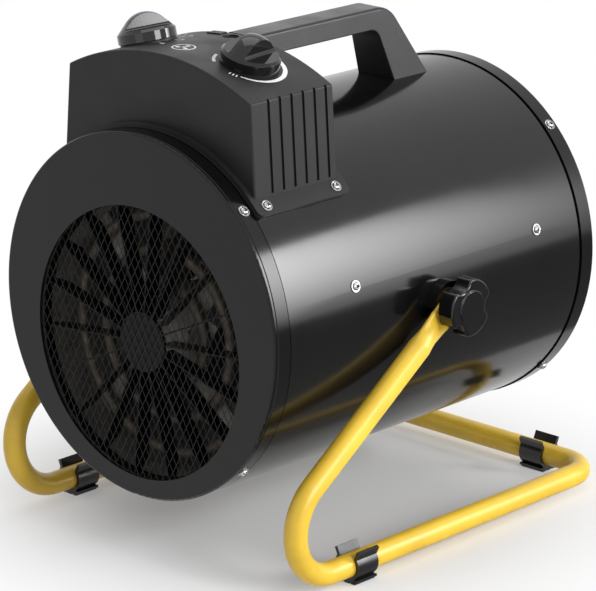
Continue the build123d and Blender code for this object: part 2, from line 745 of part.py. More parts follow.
def make_handle():
    """Carrying handle: a level grip with a slanted rear leg on a flared foot."""
    rear_foot = handle_top_y + handle_lean * (box_crown - handle_low)
    inner_top = handle_top_y - handle_leg
    inner_foot = inner_top + handle_inner_lean * (handle_under - handle_low)
    corners = [(box_rear, box_crown), (handle_top_y, box_crown), (rear_foot, handle_low),
               (inner_foot, handle_low), (inner_top, handle_under), (box_rear, handle_under)]
    side = make_face(Polyline(*[(0, y, z) for y, z in corners], close=True))
    top_corner = side.vertices().sort_by_distance((0, handle_top_y, box_crown))[0]
    side = fillet(top_corner, handle_round)
    inner_corner = side.vertices().sort_by_distance((0, inner_top, handle_under))[0]
    side = fillet(inner_corner, handle_inner_round)
    grip = extrude(side, amount=2 * handle_foot_half, both=True, dir=(1, 0, 0))
    grip &= prism_y([
        (handle_top_half, box_crown), (handle_foot_half, handle_low),
        (-handle_foot_half, handle_low), (-handle_top_half, box_crown)], box_rear, rear_foot)
    grip -= disc_y(barrel_r + hair, box_rear, rear_foot + handle_foot_half)
    outer_edges = ShapeList()
    inner_edges = ShapeList()
    for edge in grip.edges():
        at = edge.center()
        free = at.Y > box_rear + box_edge and math.hypot(at.X, at.Z) > barrel_r + box_edge
        if free and abs(at.X) > handle_edge:
            rear = handle_top_y + handle_lean * (box_crown - at.Z)
            outside = at.Z > box_crown - grip_deep / 2 or at.Y > rear - handle_leg / 2
            (outer_edges if outside else inner_edges).append(edge)
    grip = fillet(outer_edges, handle_outer_edge)
    inner_edges = [edge for edge in grip.edges() if any(
        (edge.center() - other.center()).length < hair for other in inner_edges)]
    return fillet(inner_edges, handle_edge)


def make_gland():
    """Cable gland body and cap on the box's rear wall, bored for a mains lead."""
    y = box_rear
    hexagon = RegularPolygon(gland_nut_flats / 2, 6, major_radius=False)
    gland = extrude(Plane.XZ * hexagon, amount=-gland_nut_len)
    gland = Pos(gland_x, y, gland_z) * gland
    gland += Pos(gland_x, 0, gland_z) * turned([
        (0, y + gland_nut_len), (gland_cap_r, y + gland_nut_len),
        (gland_cap_r, y + gland_nut_len + gland_cap_len / 2),
        (gland_cap_r * 0.7, y + gland_nut_len + gland_cap_len), (0, y + gland_nut_len + gland_cap_len)])
    thread_y = y - box_wall - gland_lock_len - gland_thread_free
    gland += disc_y(gland_thread_r, thread_y, y + gland_nut_len / 2, gland_x, gland_z)
    bore = disc_y(gland_bore_r, thread_y - box_wall, y + 2 * gland_cap_len, gland_x, gland_z)
    return gland - bore


def make_gland_nut():
    """Lock nut inside the box."""
    hexagon = RegularPolygon(gland_nut_flats / 2, 6, major_radius=False)
    nut = extrude(Plane.XZ * hexagon, amount=-gland_lock_len)
    nut = Pos(gland_x, box_rear - box_wall - gland_lock_len, gland_z) * nut
    return nut - disc_y(gland_thread_r + hair, box_rear - 4 * gland_lock_len, box_rear, gland_x, gland_z)


def make_terminal_block():
    """Screw terminal block on the casing, beside the wiring window."""
    x0, x1 = wire_hole + block_gap, wire_hole + block_gap + block_wide
    y = (box_front + box_rear) / 2
    top = barrel_r + block_high
    strip = block(x0, x1, y - block_long / 2, y + block_long / 2, barrel_in / 2, top)
    strip -= disc_y(barrel_r + seat_gap, flange_front, flange_rear)
    for i in range(block_screws):
        place = y + (i - (block_screws - 1) / 2) * block_screw_pitch
        strip -= Pos((x0 + x1) / 2, place, top) * Cylinder(block_screw_r, 2 * block_screw_deep)
    return strip


# ---------------------------------------------------------------- knobs and their switches
def knob_dome(radius):
    """Height of the knob's dome at a radius."""
    rise = knob_high - knob_shoulder
    sphere = (knob_shoulder_r ** 2 + rise ** 2) / (2 * rise)
    return knob_high - sphere + math.sqrt(sphere ** 2 - radius ** 2)


def make_knob(side, turn):
    """Round skirted knob with a grip bar between two scooped floors."""
    middle = knob_shoulder_r / 2
    edge = knob_skirt_edge
    body = make_face(
        Polyline((0, 0, knob_high), (0, 0, 0), (knob_r, 0, 0), (knob_r, 0, knob_skirt - edge),
                 (knob_r - edge, 0, knob_skirt), (knob_shoulder_r, 0, knob_shoulder))
        + ThreePointArc((knob_shoulder_r, 0, knob_shoulder), (middle, 0, knob_dome(middle)),
                        (0, 0, knob_high)))
    knob = revolve(body, Axis.Z)
    floor = knob_skirt + grip_floor
    reach = 2 * knob_r
    low = Polyline((grip_half, 0, reach), (grip_half, 0, floor + grip_corner))
    inset = grip_corner * (1 - math.sqrt(0.5))
    corner = ThreePointArc((grip_half, 0, floor + grip_corner), (grip_half + inset, 0, floor + inset),
                           (grip_half + grip_corner, 0, floor))
    rest = Polyline((grip_half + grip_corner, 0, floor), (reach, 0, floor), (reach, 0, reach),
                    (grip_half, 0, reach))
    scoop = extrude(make_face(low + corner + rest), amount=reach, both=True, dir=(0, 1, 0))
    knob -= scoop
    knob -= Rot(0, 0, 180) * scoop
    knob -= Pos(0, 0, knob_bore / 2) * Cylinder(spindle_r + hair, knob_bore)
    return on_top(side * knob_x, knob_y, knob_lift) * Rot(0, 0, -turn) * knob


def make_spindle(side):
    """Control spindle that turns with its knob."""
    high = knob_lift + knob_bore - spindle_free
    middle = (high - spindle_below) / 2
    return on_top(side * knob_x, knob_y, middle) * Cylinder(spindle_r, high + spindle_below)


def under_top(half):
    """Depth below the top's outer face of a flat seat that is 2 * half wide."""
    inner = top_radius - box_wall
    return top_radius - math.sqrt(inner ** 2 - half ** 2) + seat_gap


def make_selector_switch():
    """Rotary power switch under the left knob."""
    place = on_top(-knob_x, knob_y, -under_top(switch_size / 2) - switch_deep / 2)
    body = Box(switch_size, switch_size, switch_deep)
    body -= Pos(0, 0, switch_deep / 2) * Cylinder(spindle_r + shaft_fit, 2 * spindle_below)
    return place * body


def make_room_control():
    """Capillary room thermostat under the right knob."""
    place = on_top(knob_x, knob_y, -under_top(control_r) - control_deep / 2)
    body = Cylinder(control_r, control_deep)
    body -= Pos(0, 0, control_deep / 2) * Cylinder(spindle_r + shaft_fit, 2 * spindle_below)
    return place * body


def make_reset_button():
    """Sprung reset button of the thermal cut-out, sunk in the top."""
    return on_top(0, reset_y, -reset_low - reset_len / 2) * Cylinder(reset_r, reset_len)


def make_reset_guide():
    """Cup under the top that guides the reset button."""
    out = reset_r + reset_guide_wall
    top = under_top(out)
    floor = reset_low + reset_len + reset_travel + reset_guide_wall / 2
    deep = floor + reset_guide_wall - top
    cup = Pos(0, 0, -top - deep / 2) * Cylinder(out, deep)
    cup -= Pos(0, 0, -floor / 2) * Cylinder(reset_r + slip, floor)
    return on_top(0, reset_y) * cup


# ---------------------------------------------------------------- stand pieces
def leg_frame(toe):
    """The angle of a leg and the y of the corner it makes with its floor run."""
    dy, dz = pivot_y - toe - toe_r, pivot_z - run_z - toe_r
    angle = math.atan2(dz, dy) - math.asin(toe_r / math.hypot(dy, dz))
    return angle, pivot_y - (pivot_z - run_z) / math.tan(angle)


def pressed_end(side, toe):
    """The tube's end on one side, pressed flat and drilled for the clamp."""
    angle, corner_y = leg_frame(toe)
    pivot = Vector(side * tab_x, pivot_y, pivot_z)
    corner = Vector(side * run_x, corner_y, run_z)
    along = (corner - pivot).normalized()
    round_end = Plane(origin=pivot + along * (tab_flat + tab_taper), x_dir=(1, 0, 0), z_dir=along)
    flat_end = Plane(origin=pivot + along * tab_flat, x_dir=(1, 0, 0), z_dir=along)
    flat = SlotOverall(2 * tab_half, tab_thick, rotation=90)
    taper = loft([round_end * Circle(tube_r), flat_end * flat])
    level = Vector(0, math.cos(angle), math.sin(angle))
    across = Vector(0, -math.sin(angle), math.cos(angle)) * tab_half
    tip = Vector(0, pivot_y, pivot_z)
    root = tip - level * (tab_flat + hair)
    outline = make_face(Polyline(root + across, root - across, tip - across, tip + across, close=True))
    tab = Pos(side * tab_x, 0, 0) * extrude(outline, amount=tab_thick / 2, both=True, dir=(1, 0, 0))
    long_edges = [edge for edge in tab.edges() if abs(edge.length - tab_flat) < 2 * hair]
    tab = fillet(long_edges, tab_thick / 2 - hair)
    inner, outer = side * (tab_x - tab_thick / 2), side * (tab_x + tab_thick / 2)
    end = bar_x(tab_half, inner, outer, pivot_y, pivot_z)
    tab += fillet(end.edges().filter_by(GeomType.CIRCLE), tab_thick / 2 - hair)
    tab -= bar_x(stud_r + stud_hole_fit, inner - side, outer + side, pivot_y, pivot_z)
    return taper + tab, round_end, corner


def make_stand():
    """One bent tube whose ends are pressed flat and drilled for the clamps."""
    right, right_plane, right_corner = pressed_end(1, toe_right)
    left, left_plane, left_corner = pressed_end(-1, toe_left)
    rear = [Vector(side * run_x, cross_y, run_z) for side in (1, -1)]
    path = FilletPolyline(right_plane.origin, right_corner, *rear, left_corner, left_plane.origin,
                          radius=[toe_r, corner_r, corner_r, toe_r])
    bar = sweep(right_plane * Circle(tube_r), path=path)
    return bar + right + left


def clip_profile():
    """Section of a foot clip about the tube's axis."""
    inner = clip_middle - clip_wall / 2
    outer = clip_middle + clip_wall / 2
    mouth = math.radians(clip_mouth)
    far = 3 * outer
    opening = make_face(Polyline((0, 0), (far * math.cos(mouth), far * math.sin(mouth)), (0, far),
                                 (-far * math.cos(mouth), far * math.sin(mouth)), close=True))
    profile = Circle(outer) - Circle(inner) - opening
    lean = math.radians(clip_lip_lean)
    for side in (-1, 1):
        root = Vector(side * math.cos(mouth), math.sin(mouth)) * clip_middle - Vector(0, clip_wall / 4)
        tip = root + Vector(side * math.sin(lean), math.cos(lean)) * clip_lip
        half = Vector(math.cos(lean), -side * math.sin(lean)) * (clip_wall / 2)
        corners = (root - half, root + half, tip + half, tip - half)
        profile += make_face(Polyline(*[(p.X, p.Y) for p in corners], close=True))
    low = -clip_foot_drop
    profile += Pos(0, low + clip_step * 1.5) * Rectangle(2 * clip_pad_half, clip_step)
    profile += Pos(0, low + clip_step * 0.6) * Rectangle(2 * clip_foot_half, clip_step * 1.2)
    for side in (-1, 1):
        profile -= Pos(side * clip_groove_x, low) * Rectangle(clip_groove_wide, 2 * clip_groove)
    return profile - Circle(inner)


def make_clip(x, y, across):
    """A foot clip on a side run, or across the rear run."""
    profile = Plane.XZ * clip_profile()
    clip = extrude(profile, amount=clip_len / 2, both=True)
    if across:
        clip = Rot(0, 0, 90) * clip
    return Pos(x, y, run_z) * clip


# ---------------------------------------------------------------- clamp pivots
def make_spacer():
    """Spacer between the casing and the flattened tube, cut to the casing's curve."""
    ring = bar_x(spacer_r, barrel_r / 2, spacer_face, pivot_y, pivot_z)
    ring -= bar_x(stud_r + shaft_fit, barrel_r / 2, tab_x, pivot_y, pivot_z)
    return ring - disc_y(barrel_r + hair, pivot_y - 2 * spacer_r, pivot_y + 2 * spacer_r)


def make_pivot_nut():
    """Nut plate fixed inside the casing for the clamp stud."""
    nut = bar_x(nut_r, barrel_in - nut_len, barrel_r, pivot_y, pivot_z)
    nut &= disc_y(barrel_in - hair, pivot_y - 2 * nut_r, pivot_y + 2 * nut_r)
    return nut - bar_x(stud_r + shaft_fit, barrel_in - 2 * nut_len, tab_x, pivot_y, pivot_z)


def make_stud():
    """Clamp stud with its washer."""
    stud = bar_x(stud_r, barrel_in - nut_len, clamp_back + clamp_socket, pivot_y, pivot_z)
    return stud + bar_x(washer_r, washer_x, clamp_x, pivot_y, pivot_z)


def make_clamp_knob():
    """Three-lobed hand knob of the clamp."""
    lobes = Circle(clamp_lobe_r)
    away = clamp_waist_r + clamp_scoop_r
    for i in range(3):
        angle = math.radians(clamp_turn + 120 * i)
        lobes -= Pos(away * math.cos(angle), away * math.sin(angle)) * Circle(clamp_scoop_r)
    lobes = fillet(lobes.vertices(), clamp_lobe_round)
    knob = extrude(Plane.YZ * lobes, amount=clamp_thick)
    knob = fillet(knob.faces().sort_by(Axis.X)[-1].edges(), clamp_edge)
    knob += bar_x(clamp_cap_r, clamp_thick / 2, clamp_thick + clamp_cap)
    knob += bar_x(clamp_hub_r, -clamp_hub_len, clamp_hub_len)
    knob = Pos(clamp_back, pivot_y, pivot_z) * knob
    return knob - bar_x(stud_r + hair, washer_x, clamp_back + clamp_socket + seat_gap, pivot_y, pivot_z)


# ---------------------------------------------------------------- build and write
def build():
    """Every node of the heater by name, in the casing's frame."""
    parts = {
        "stand_frame": make_stand(),
        "foot_clip_front_right": make_clip(run_x, clip_front_right, False),
        "foot_clip_front_left": make_clip(-run_x, clip_front_left, False),
        "foot_clip_rear_right": make_clip(clip_rear_x, cross_y, True),
        "foot_clip_rear_left": make_clip(-clip_rear_x, cross_y, True),
        "casing": make_casing(),
        "front_cap": make_front_cap(),
        "rear_cap": make_rear_cap(),
        "outlet_net": make_outlet_net(),
        "net_clamp_ring": make_net_ring(),
        "outlet_rib_guard": make_rib_guard(),
        "heat_duct": make_duct(),
        "duct_brackets": make_duct_brackets(),
        "element_carrier": make_element_carrier(),
        "fan_impeller": make_fan(),
        "fan_nut": make_fan_nut(),
        "motor_shaft": make_shaft(),
        "motor": make_motor(),
        "motor_mount": make_motor_mount(),
        "thermal_cutout": make_cutout(),
        "rear_guard": make_rear_guard(),
        "control_box": make_control_box(),
        "box_gasket": make_gasket(),
        "handle": make_handle(),
        "cable_gland": make_gland(),
        "gland_lock_nut": make_gland_nut(),
        "terminal_block": make_terminal_block(),
        "selector_knob": make_knob(-1, selector_turn),
        "selector_spindle": make_spindle(-1),
        "selector_switch": make_selector_switch(),
        "thermostat_knob": make_knob(1, thermostat_turn),
        "thermostat_spindle": make_spindle(1),
        "thermostat_body": make_room_control(),
        "reset_button": make_reset_button(),
        "reset_guide": make_reset_guide(),
    }
    ends = []
    for i, name in enumerate(("outer", "middle", "inner")):
        bar, tips = make_element(element_outer - i * element_step)
        parts[f"heating_element_{name}"] = bar
        ends += tips
    parts["element_terminals"] = make_terminals(ends)
    for group in screw_places():
        parts[group] = screws(group)
    sides = {"pivot_spacer": make_spacer(), "pivot_nut": make_pivot_nut(),
             "clamp_stud": make_stud(), "clamp_knob": make_clamp_knob()}
    for name, piece in sides.items():
        parts[f"{name}_right"] = piece
        parts[f"{name}_left"] = mirrored(piece)
    return parts


def write(parts):
    """Moves every node to the row frame and writes it."""
    os.makedirs("parts", exist_ok=True)
    x, y, z = row_origin
    for name, part in parts.items():
        export_step(Pos(-x, -y, -z) * part, f"parts/{name}.step")
    print("row origin in the casing's frame", [round(v, 3) for v in row_origin])


write(build())
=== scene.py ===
"""Looks of a portable forced air heater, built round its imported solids."""

import json
import logging
import math
from dataclasses import dataclass, field
from enum import Enum
from typing import Any, Callable, Sequence

import bmesh
import bpy
from mathutils import Matrix, Vector

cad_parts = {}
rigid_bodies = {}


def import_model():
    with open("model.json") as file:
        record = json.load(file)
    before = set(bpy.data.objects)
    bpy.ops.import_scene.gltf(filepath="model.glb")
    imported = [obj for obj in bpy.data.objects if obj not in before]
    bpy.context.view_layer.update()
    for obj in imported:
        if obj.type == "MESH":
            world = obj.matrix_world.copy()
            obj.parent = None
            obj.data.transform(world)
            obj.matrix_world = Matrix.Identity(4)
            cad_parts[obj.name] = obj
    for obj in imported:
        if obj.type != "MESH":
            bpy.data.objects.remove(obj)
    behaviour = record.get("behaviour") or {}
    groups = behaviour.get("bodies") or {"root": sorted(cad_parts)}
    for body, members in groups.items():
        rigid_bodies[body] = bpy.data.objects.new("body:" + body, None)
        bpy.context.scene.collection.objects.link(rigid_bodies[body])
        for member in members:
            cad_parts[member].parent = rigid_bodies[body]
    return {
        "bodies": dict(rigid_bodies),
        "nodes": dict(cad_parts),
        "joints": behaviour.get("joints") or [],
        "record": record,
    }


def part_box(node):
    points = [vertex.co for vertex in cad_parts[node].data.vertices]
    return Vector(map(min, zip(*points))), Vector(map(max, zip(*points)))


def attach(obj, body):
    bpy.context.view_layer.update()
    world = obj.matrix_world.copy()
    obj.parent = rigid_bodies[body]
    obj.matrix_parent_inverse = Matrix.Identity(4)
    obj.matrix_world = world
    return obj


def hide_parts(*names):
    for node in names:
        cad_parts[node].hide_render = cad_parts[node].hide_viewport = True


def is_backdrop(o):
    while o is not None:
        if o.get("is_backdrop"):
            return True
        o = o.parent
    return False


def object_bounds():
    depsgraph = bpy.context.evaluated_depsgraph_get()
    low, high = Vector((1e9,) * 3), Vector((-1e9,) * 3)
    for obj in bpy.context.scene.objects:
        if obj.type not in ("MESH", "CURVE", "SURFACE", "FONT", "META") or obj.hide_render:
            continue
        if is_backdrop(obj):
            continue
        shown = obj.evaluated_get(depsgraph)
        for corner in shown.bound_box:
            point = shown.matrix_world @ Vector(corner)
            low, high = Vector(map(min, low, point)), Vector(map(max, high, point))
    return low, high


MM = 0.001
Colour = tuple[float, float, float]
Point2 = tuple[float, float]
Shape = bmesh.types.BMesh
Socket = bpy.types.NodeSocket
log = logging.getLogger("heater")


# ---------------- node tree helpers
class NodeTree:
    """Short calls that build a node tree."""

    def __init__(self, tree: bpy.types.NodeTree) -> None:
        """Keeps the tree that the calls add to."""
        self.tree = tree

    def plug(self, value: Any, socket: Socket) -> None:
        """Sets a socket to a plain value or joins it to a source.

        Args:
            value: a plain value or another node's output.
            socket: the input.
        """
        if isinstance(value, Socket):
            self.tree.links.new(value, socket)
        else:
            socket.default_value = value

    def add(self, kind: str, settings: dict[str, Any] | None = None, **inputs: Any) -> bpy.types.Node:
        """Adds a node.

        Args:
            kind: the node's type.
            settings: the node's own properties.
            **inputs: a value or source for each input, with underscores for spaces.

        Returns:
            The new node.
        """
        node = self.tree.nodes.new(kind)
        for key, value in (settings or {}).items():
            setattr(node, key, value)
        for key, value in inputs.items():
            self.plug(value, node.inputs[key.replace("_", " ")])
        return node

    def calc(self, operation: str, *values: Any) -> Socket:
        """Arithmetic between sources or numbers.

        Args:
            operation: name of the sum.
            *values: its sources or numbers.

        Returns:
            The result.
        """
        node = self.add("ShaderNodeMath", {"operation": operation})
        for value, socket in zip(values, node.inputs):
            self.plug(value, socket)
        return node.outputs[0]

    def between(self, source: Socket, low: float, high: float, out_low: float, out_high: float,
                curve: str = "LINEAR") -> Socket:
        """Stretches a range of a pattern to another range, held at its ends.

        Args:
            source: the pattern.
            low: value that becomes out_low.
            high: value that becomes out_high.
            out_low: lowest result.
            out_high: highest result.
            curve: how it goes from one to the other.

        Returns:
            The stretched pattern.
        """
        node = self.add("ShaderNodeMapRange", {"interpolation_type": curve})
        for value, socket in zip((source, low, high, out_low, out_high), node.inputs):
            self.plug(value, socket)
        return node.outputs[0]


class ShaderTree(NodeTree):
    """A material with one surface shader and short calls for its patterns."""

    def __init__(self, name: str, colour: Colour, roughness: float, metallic: float = 0.0) -> None:
        """Makes the material and sets its plain values.

        Args:
            name: the material's name.
            colour: the finish's linear colour.
            roughness: the mean roughness.
            metallic: 0 for paint and plastic, 1 for bare metal.
        """
        self.material = bpy.data.materials.new(name)
        self.material.use_nodes = True
        self.material.diffuse_color = (*colour, 1.0)
        super().__init__(self.material.node_tree)
        self.shader = self.tree.nodes["Principled BSDF"]
        self.set(Base_Color=(*colour, 1.0), Roughness=roughness, Metallic=metallic)
        self.place = self.add("ShaderNodeTexCoord").outputs["Object"]

    def set(self, **values: Any) -> None:
        """Gives the surface shader values or patterns, with underscores for spaces."""
        for key, value in values.items():
            self.plug(value, self.shader.inputs[key.replace("_", " ")])

    def stretched(self, scale: Colour) -> Socket:
        """The object's coordinates, stretched by a factor along each axis."""
        return self.add("ShaderNodeMapping", Vector=self.place, Scale=scale).outputs["Vector"]

    def noise(self, scale: float, detail: float = 3.0, rough: float = 0.5,
              place: Socket | None = None) -> Socket:
        """Cloudy pattern.

        Args:
            scale: clouds per metre.
            detail: number of finer layers.
            rough: strength of the finer layers.
            place: coordinates, or the object's own.

        Returns:
            The pattern, from 0 to 1.
        """
        node = self.add("ShaderNodeTexNoise", Scale=scale, Detail=detail, Roughness=rough,
                        Vector=place or self.place)
        return node.outputs["Fac"]

    def cells(self, scale: float, output: str = "Distance") -> Socket:
        """Cell pattern with so many cells per metre: the wanted one of its outputs."""
        return self.add("ShaderNodeTexVoronoi", Scale=scale, Vector=self.place).outputs[output]

    def tint(self, amount: Socket, one: Any, two: Any) -> Socket:
        """Mixes two colours.

        Args:
            amount: share of the second colour.
            one: first colour, plain or from a node.
            two: second colour, plain or from a node.

        Returns:
            The mixed colour.
        """
        node = self.add("ShaderNodeMix", {"data_type": "RGBA"}, Factor=amount)
        for colour, socket in zip((one, two), (node.inputs[6], node.inputs[7])):
            self.plug(colour if isinstance(colour, Socket) else (*colour, 1.0), socket)
        return node.outputs[2]

    def axis(self, index: int) -> Socket:
        """One of the object's coordinates, in metres."""
        return self.add("ShaderNodeSeparateXYZ", Vector=self.place).outputs[index]

    def relief(self, *layers: tuple[Socket, float, float]) -> None:
        """Raises the surface by one or more patterns.

        Args:
            *layers: a pattern with its strength and its depth in metres.
        """
        previous = None
        for height, strength, depth in layers:
            bump = self.add("ShaderNodeBump", Height=height, Strength=strength, Distance=depth)
            if previous is not None:
                self.plug(previous, bump.inputs["Normal"])
            previous = bump.outputs["Normal"]
        self.set(Normal=previous)


# ---------------- finishes
@dataclass(frozen=True)
class Finish:
    """One surface finish; a kind of finish adds its own pattern in dress."""

    name: str
    colour: Colour
    roughness: float
    metallic: float = 0.0
    shine: float = 0.5

    def build(self) -> bpy.types.Material:
        """Makes the material.

        Returns:
            The dressed material.
        """
        tree = ShaderTree(self.name, self.colour, self.roughness, self.metallic)
        tree.set(Specular_IOR_Level=self.shine)
        self.dress(tree)
        return tree.material

    def dress(self, tree: ShaderTree) -> None:
        """Adds the finish's pattern to a tree."""
        raise NotImplementedError

    def shade(self, factor: float) -> Colour:
        """The finish's colour made lighter or darker by a factor."""
        red, green, blue = (min(1.0, channel * factor) for channel in self.colour)
        return red, green, blue

    def mottle(self, tree: ShaderTree, cloud: Socket, dark: float, light: float) -> Socket:
        """The finish's colour between a darker and a lighter shade, by a cloudy pattern."""
        return tree.tint(tree.between(cloud, 0.3, 0.7, 0.0, 1.0), self.shade(dark), self.shade(light))

    def roughen(self, tree: ShaderTree, pattern: Socket, span: Point2, factors: Point2) -> None:
        """Lets the roughness follow a range of a pattern, by a factor at each end of it."""
        rough_low, rough_high = (self.roughness * factor for factor in factors)
        tree.set(Roughness=tree.between(pattern, *span, rough_low, rough_high))


@dataclass(frozen=True)
class Enamel(Finish):
    """Sprayed and baked paint on sheet metal."""

    peel: float = 900.0
    peel_depth: float = 0.00001
    wave_depth: float = 0.0
    dust: float = 0.35
    dust_colour: Colour = (0.22, 0.22, 0.21)

    def dress(self, tree: ShaderTree) -> None:
        """Orange peel, faint sheet waves, dust specks and uneven gloss.

        Args:
            tree: the material's tree.
        """
        cloud = tree.noise(14.0, 4.0)
        specks = tree.between(tree.cells(700.0), 0.0, 0.12, 1.0, 0.0)
        thin = tree.calc("MULTIPLY", specks, tree.between(tree.noise(23.0), 0.5, 0.7, 0.0, self.dust))
        tree.set(Base_Color=tree.tint(thin, self.mottle(tree, cloud, 0.85, 1.2), self.dust_colour))
        self.roughen(tree, cloud, (0.3, 0.75), (0.85, 1.25))
        layers = [(tree.noise(self.peel, 2.0, 0.4), 0.6, self.peel_depth)]
        if self.wave_depth:
            wave = tree.noise(5.0, 1.0, 0.3, tree.stretched((0.6, 1.6, 0.6)))
            layers.append((wave, 1.0, self.wave_depth))
        tree.relief(*layers)


@dataclass(frozen=True)
class PowderCoat(Finish):
    """Thick powder coat with a fine pebbled skin, scuffed where it meets the floor."""

    scuff: Colour = (0.42, 0.29, 0.06)
    floor_level: float = 0.004
    scuff_height: float = 0.007

    def dress(self, tree: ShaderTree) -> None:
        """Pebbled skin, cloudy tone, small marks and a scuffed underside.

        Args:
            tree: the material's tree.
        """
        cloud = tree.noise(26.0, 5.0, 0.6)
        low = tree.between(tree.axis(2), self.floor_level, self.floor_level + self.scuff_height, 1.0, 0.0)
        marks = tree.between(tree.noise(240.0, 6.0, 0.7), 0.52, 0.62, 0.0, 0.6)
        worn = tree.calc("MULTIPLY", low, marks)
        drawn = tree.noise(95.0, 4.0, 0.8, tree.stretched((1.0, 0.35, 1.0)))
        nick = tree.between(drawn, 0.70, 0.76, 0.0, 0.6)
        tone = self.mottle(tree, cloud, 0.86, 1.08)
        tree.set(Base_Color=tree.tint(tree.calc("MAXIMUM", worn, nick), tone, self.scuff))
        self.roughen(tree, cloud, (0.2, 0.8), (0.8, 1.3))
        tree.set(Coat_Weight=0.15, Coat_Roughness=0.2)
        tree.relief((tree.noise(1500.0, 2.0, 0.5), 0.5, 0.00002), (tree.noise(260.0, 2.0), 0.35, 0.00006))


@dataclass(frozen=True)
class Moulded(Finish):
    """Injection moulded plastic with a sparked grain or a polished skin."""

    grain: float = 2600.0
    grain_depth: float = 0.00002
    rubbed: float = 0.8
    flow: float = 18.0

    def dress(self, tree: ShaderTree) -> None:
        """Grain, faint flow clouds and patches rubbed smoother.

        Args:
            tree: the material's tree.
        """
        tree.set(Base_Color=self.mottle(tree, tree.noise(self.flow, 4.0, 0.55), 0.88, 1.14))
        self.roughen(tree, tree.noise(34.0, 5.0, 0.6), (0.35, 0.7), (self.rubbed, 1.15))
        coarse = tree.noise(self.grain * 0.3, 2.0)
        tree.relief((tree.cells(self.grain), 0.5, self.grain_depth), (coarse, 0.3, self.grain_depth * 1.5))


@dataclass(frozen=True)
class Rubber(Finish):
    """Moulded rubber, dull, with pale bloom and dust in its pores."""

    bloom: Colour = (0.09, 0.088, 0.084)

    def dress(self, tree: ShaderTree) -> None:
        """Pores, bloom and uneven dullness.

        Args:
            tree: the material's tree.
        """
        cloud = tree.noise(60.0, 6.0, 0.65)
        tree.set(Base_Color=tree.tint(tree.between(cloud, 0.5, 0.8, 0.0, 0.5), self.colour, self.bloom))
        self.roughen(tree, cloud, (0.3, 0.7), (0.8, 1.2))
        tree.relief((tree.noise(1100.0, 3.0, 0.6), 0.5, 0.00004), (tree.cells(420.0), 0.2, 0.00005))


@dataclass(frozen=True)
class Plated(Finish):
    """Bright or dull plating over turned or pressed steel."""

    haze: float = 0.5
    scratch: float = 0.00001
    stretch: Colour = (1.0, 1.0, 1.0)
    stain: Colour = (0.35, 0.33, 0.29)

    def dress(self, tree: ShaderTree) -> None:
        """Hazy patches, hairline scratches and slight tarnish.

        Args:
            tree: the material's tree.
        """
        lines = tree.noise(900.0, 4.0, 0.7, tree.stretched(self.stretch))
        tarnish = tree.between(tree.noise(180.0, 5.0, 0.7), 0.5, 0.8, 0.0, self.haze)
        tree.set(Base_Color=tree.tint(tarnish, self.colour, self.stain))
        self.roughen(tree, lines, (0.3, 0.75), (0.6, 1.6))
        tree.relief((lines, 0.4, self.scratch))


@dataclass(frozen=True)
class Galvanised(Finish):
    """Zinc dipped sheet with its crystal spangle, tinted by heat."""

    spangle: float = 160.0
    heat: Colour = (0.34, 0.25, 0.16)

    def dress(self, tree: ShaderTree) -> None:
        """Spangle in tone and gloss, with warm heat stains.

        Args:
            tree: the material's tree.
        """
        grey = tree.add("ShaderNodeSeparateColor", Color=tree.cells(self.spangle, "Color"))
        crystals = tree.tint(grey.outputs[0], self.shade(0.72), self.shade(1.15))
        warm = tree.between(tree.noise(22.0, 4.0, 0.6), 0.42, 0.72, 0.0, 0.75)
        tree.set(Base_Color=tree.tint(warm, crystals, self.heat))
        self.roughen(tree, grey.outputs[1], (0.0, 1.0), (0.75, 1.35))
        tree.relief((tree.noise(700.0, 3.0), 0.3, 0.00002))


@dataclass(frozen=True)
class HeatTint(Finish):
    """Steel tube that has glowed: brown scale with straw and blue bands."""

    straw: Colour = (0.36, 0.20, 0.08)
    blue: Colour = (0.10, 0.11, 0.16)

    def dress(self, tree: ShaderTree) -> None:
        """Scale, temper colours and a rough oxide skin.

        Args:
            tree: the material's tree.
        """
        bands = tree.noise(38.0, 4.0, 0.6)
        tone = tree.tint(tree.between(bands, 0.35, 0.6, 0.0, 1.0), self.colour, self.straw)
        tree.set(Base_Color=tree.tint(tree.between(bands, 0.6, 0.75, 0.0, 1.0), tone, self.blue))
        self.roughen(tree, tree.noise(300.0, 4.0), (0.3, 0.7), (0.7, 1.3))
        tree.relief((tree.noise(900.0, 4.0, 0.6), 0.5, 0.00004))


@dataclass(frozen=True)
class Cast(Finish):
    """Die-cast or pressed light alloy."""

    pebble: float = 520.0

    def dress(self, tree: ShaderTree) -> None:
        """Cast skin with dull and rubbed patches.

        Args:
            tree: the material's tree.
        """
        cloud = tree.noise(40.0, 5.0, 0.6)
        tree.set(Base_Color=self.mottle(tree, cloud, 0.75, 1.1))
        self.roughen(tree, cloud, (0.3, 0.7), (1.2, 0.8))
        tree.relief((tree.noise(self.pebble, 4.0, 0.6), 0.4, 0.00005))


@dataclass(frozen=True)
class Glaze(Finish):
    """Glazed ceramic with a speckle."""

    speckle: Colour = (0.42, 0.36, 0.27)

    def dress(self, tree: ShaderTree) -> None:
        """Speckle, uneven gloss and a soft skin.

        Args:
            tree: the material's tree.
        """
        speck = tree.between(tree.cells(900.0), 0.0, 0.2, 0.5, 0.0)
        tree.set(Base_Color=tree.tint(speck, self.colour, self.speckle), Coat_Weight=0.5, Coat_Roughness=0.08)
        self.roughen(tree, tree.noise(120.0, 4.0), (0.3, 0.7), (0.7, 1.4))
        tree.relief((tree.noise(420.0, 2.0), 0.3, 0.00003))


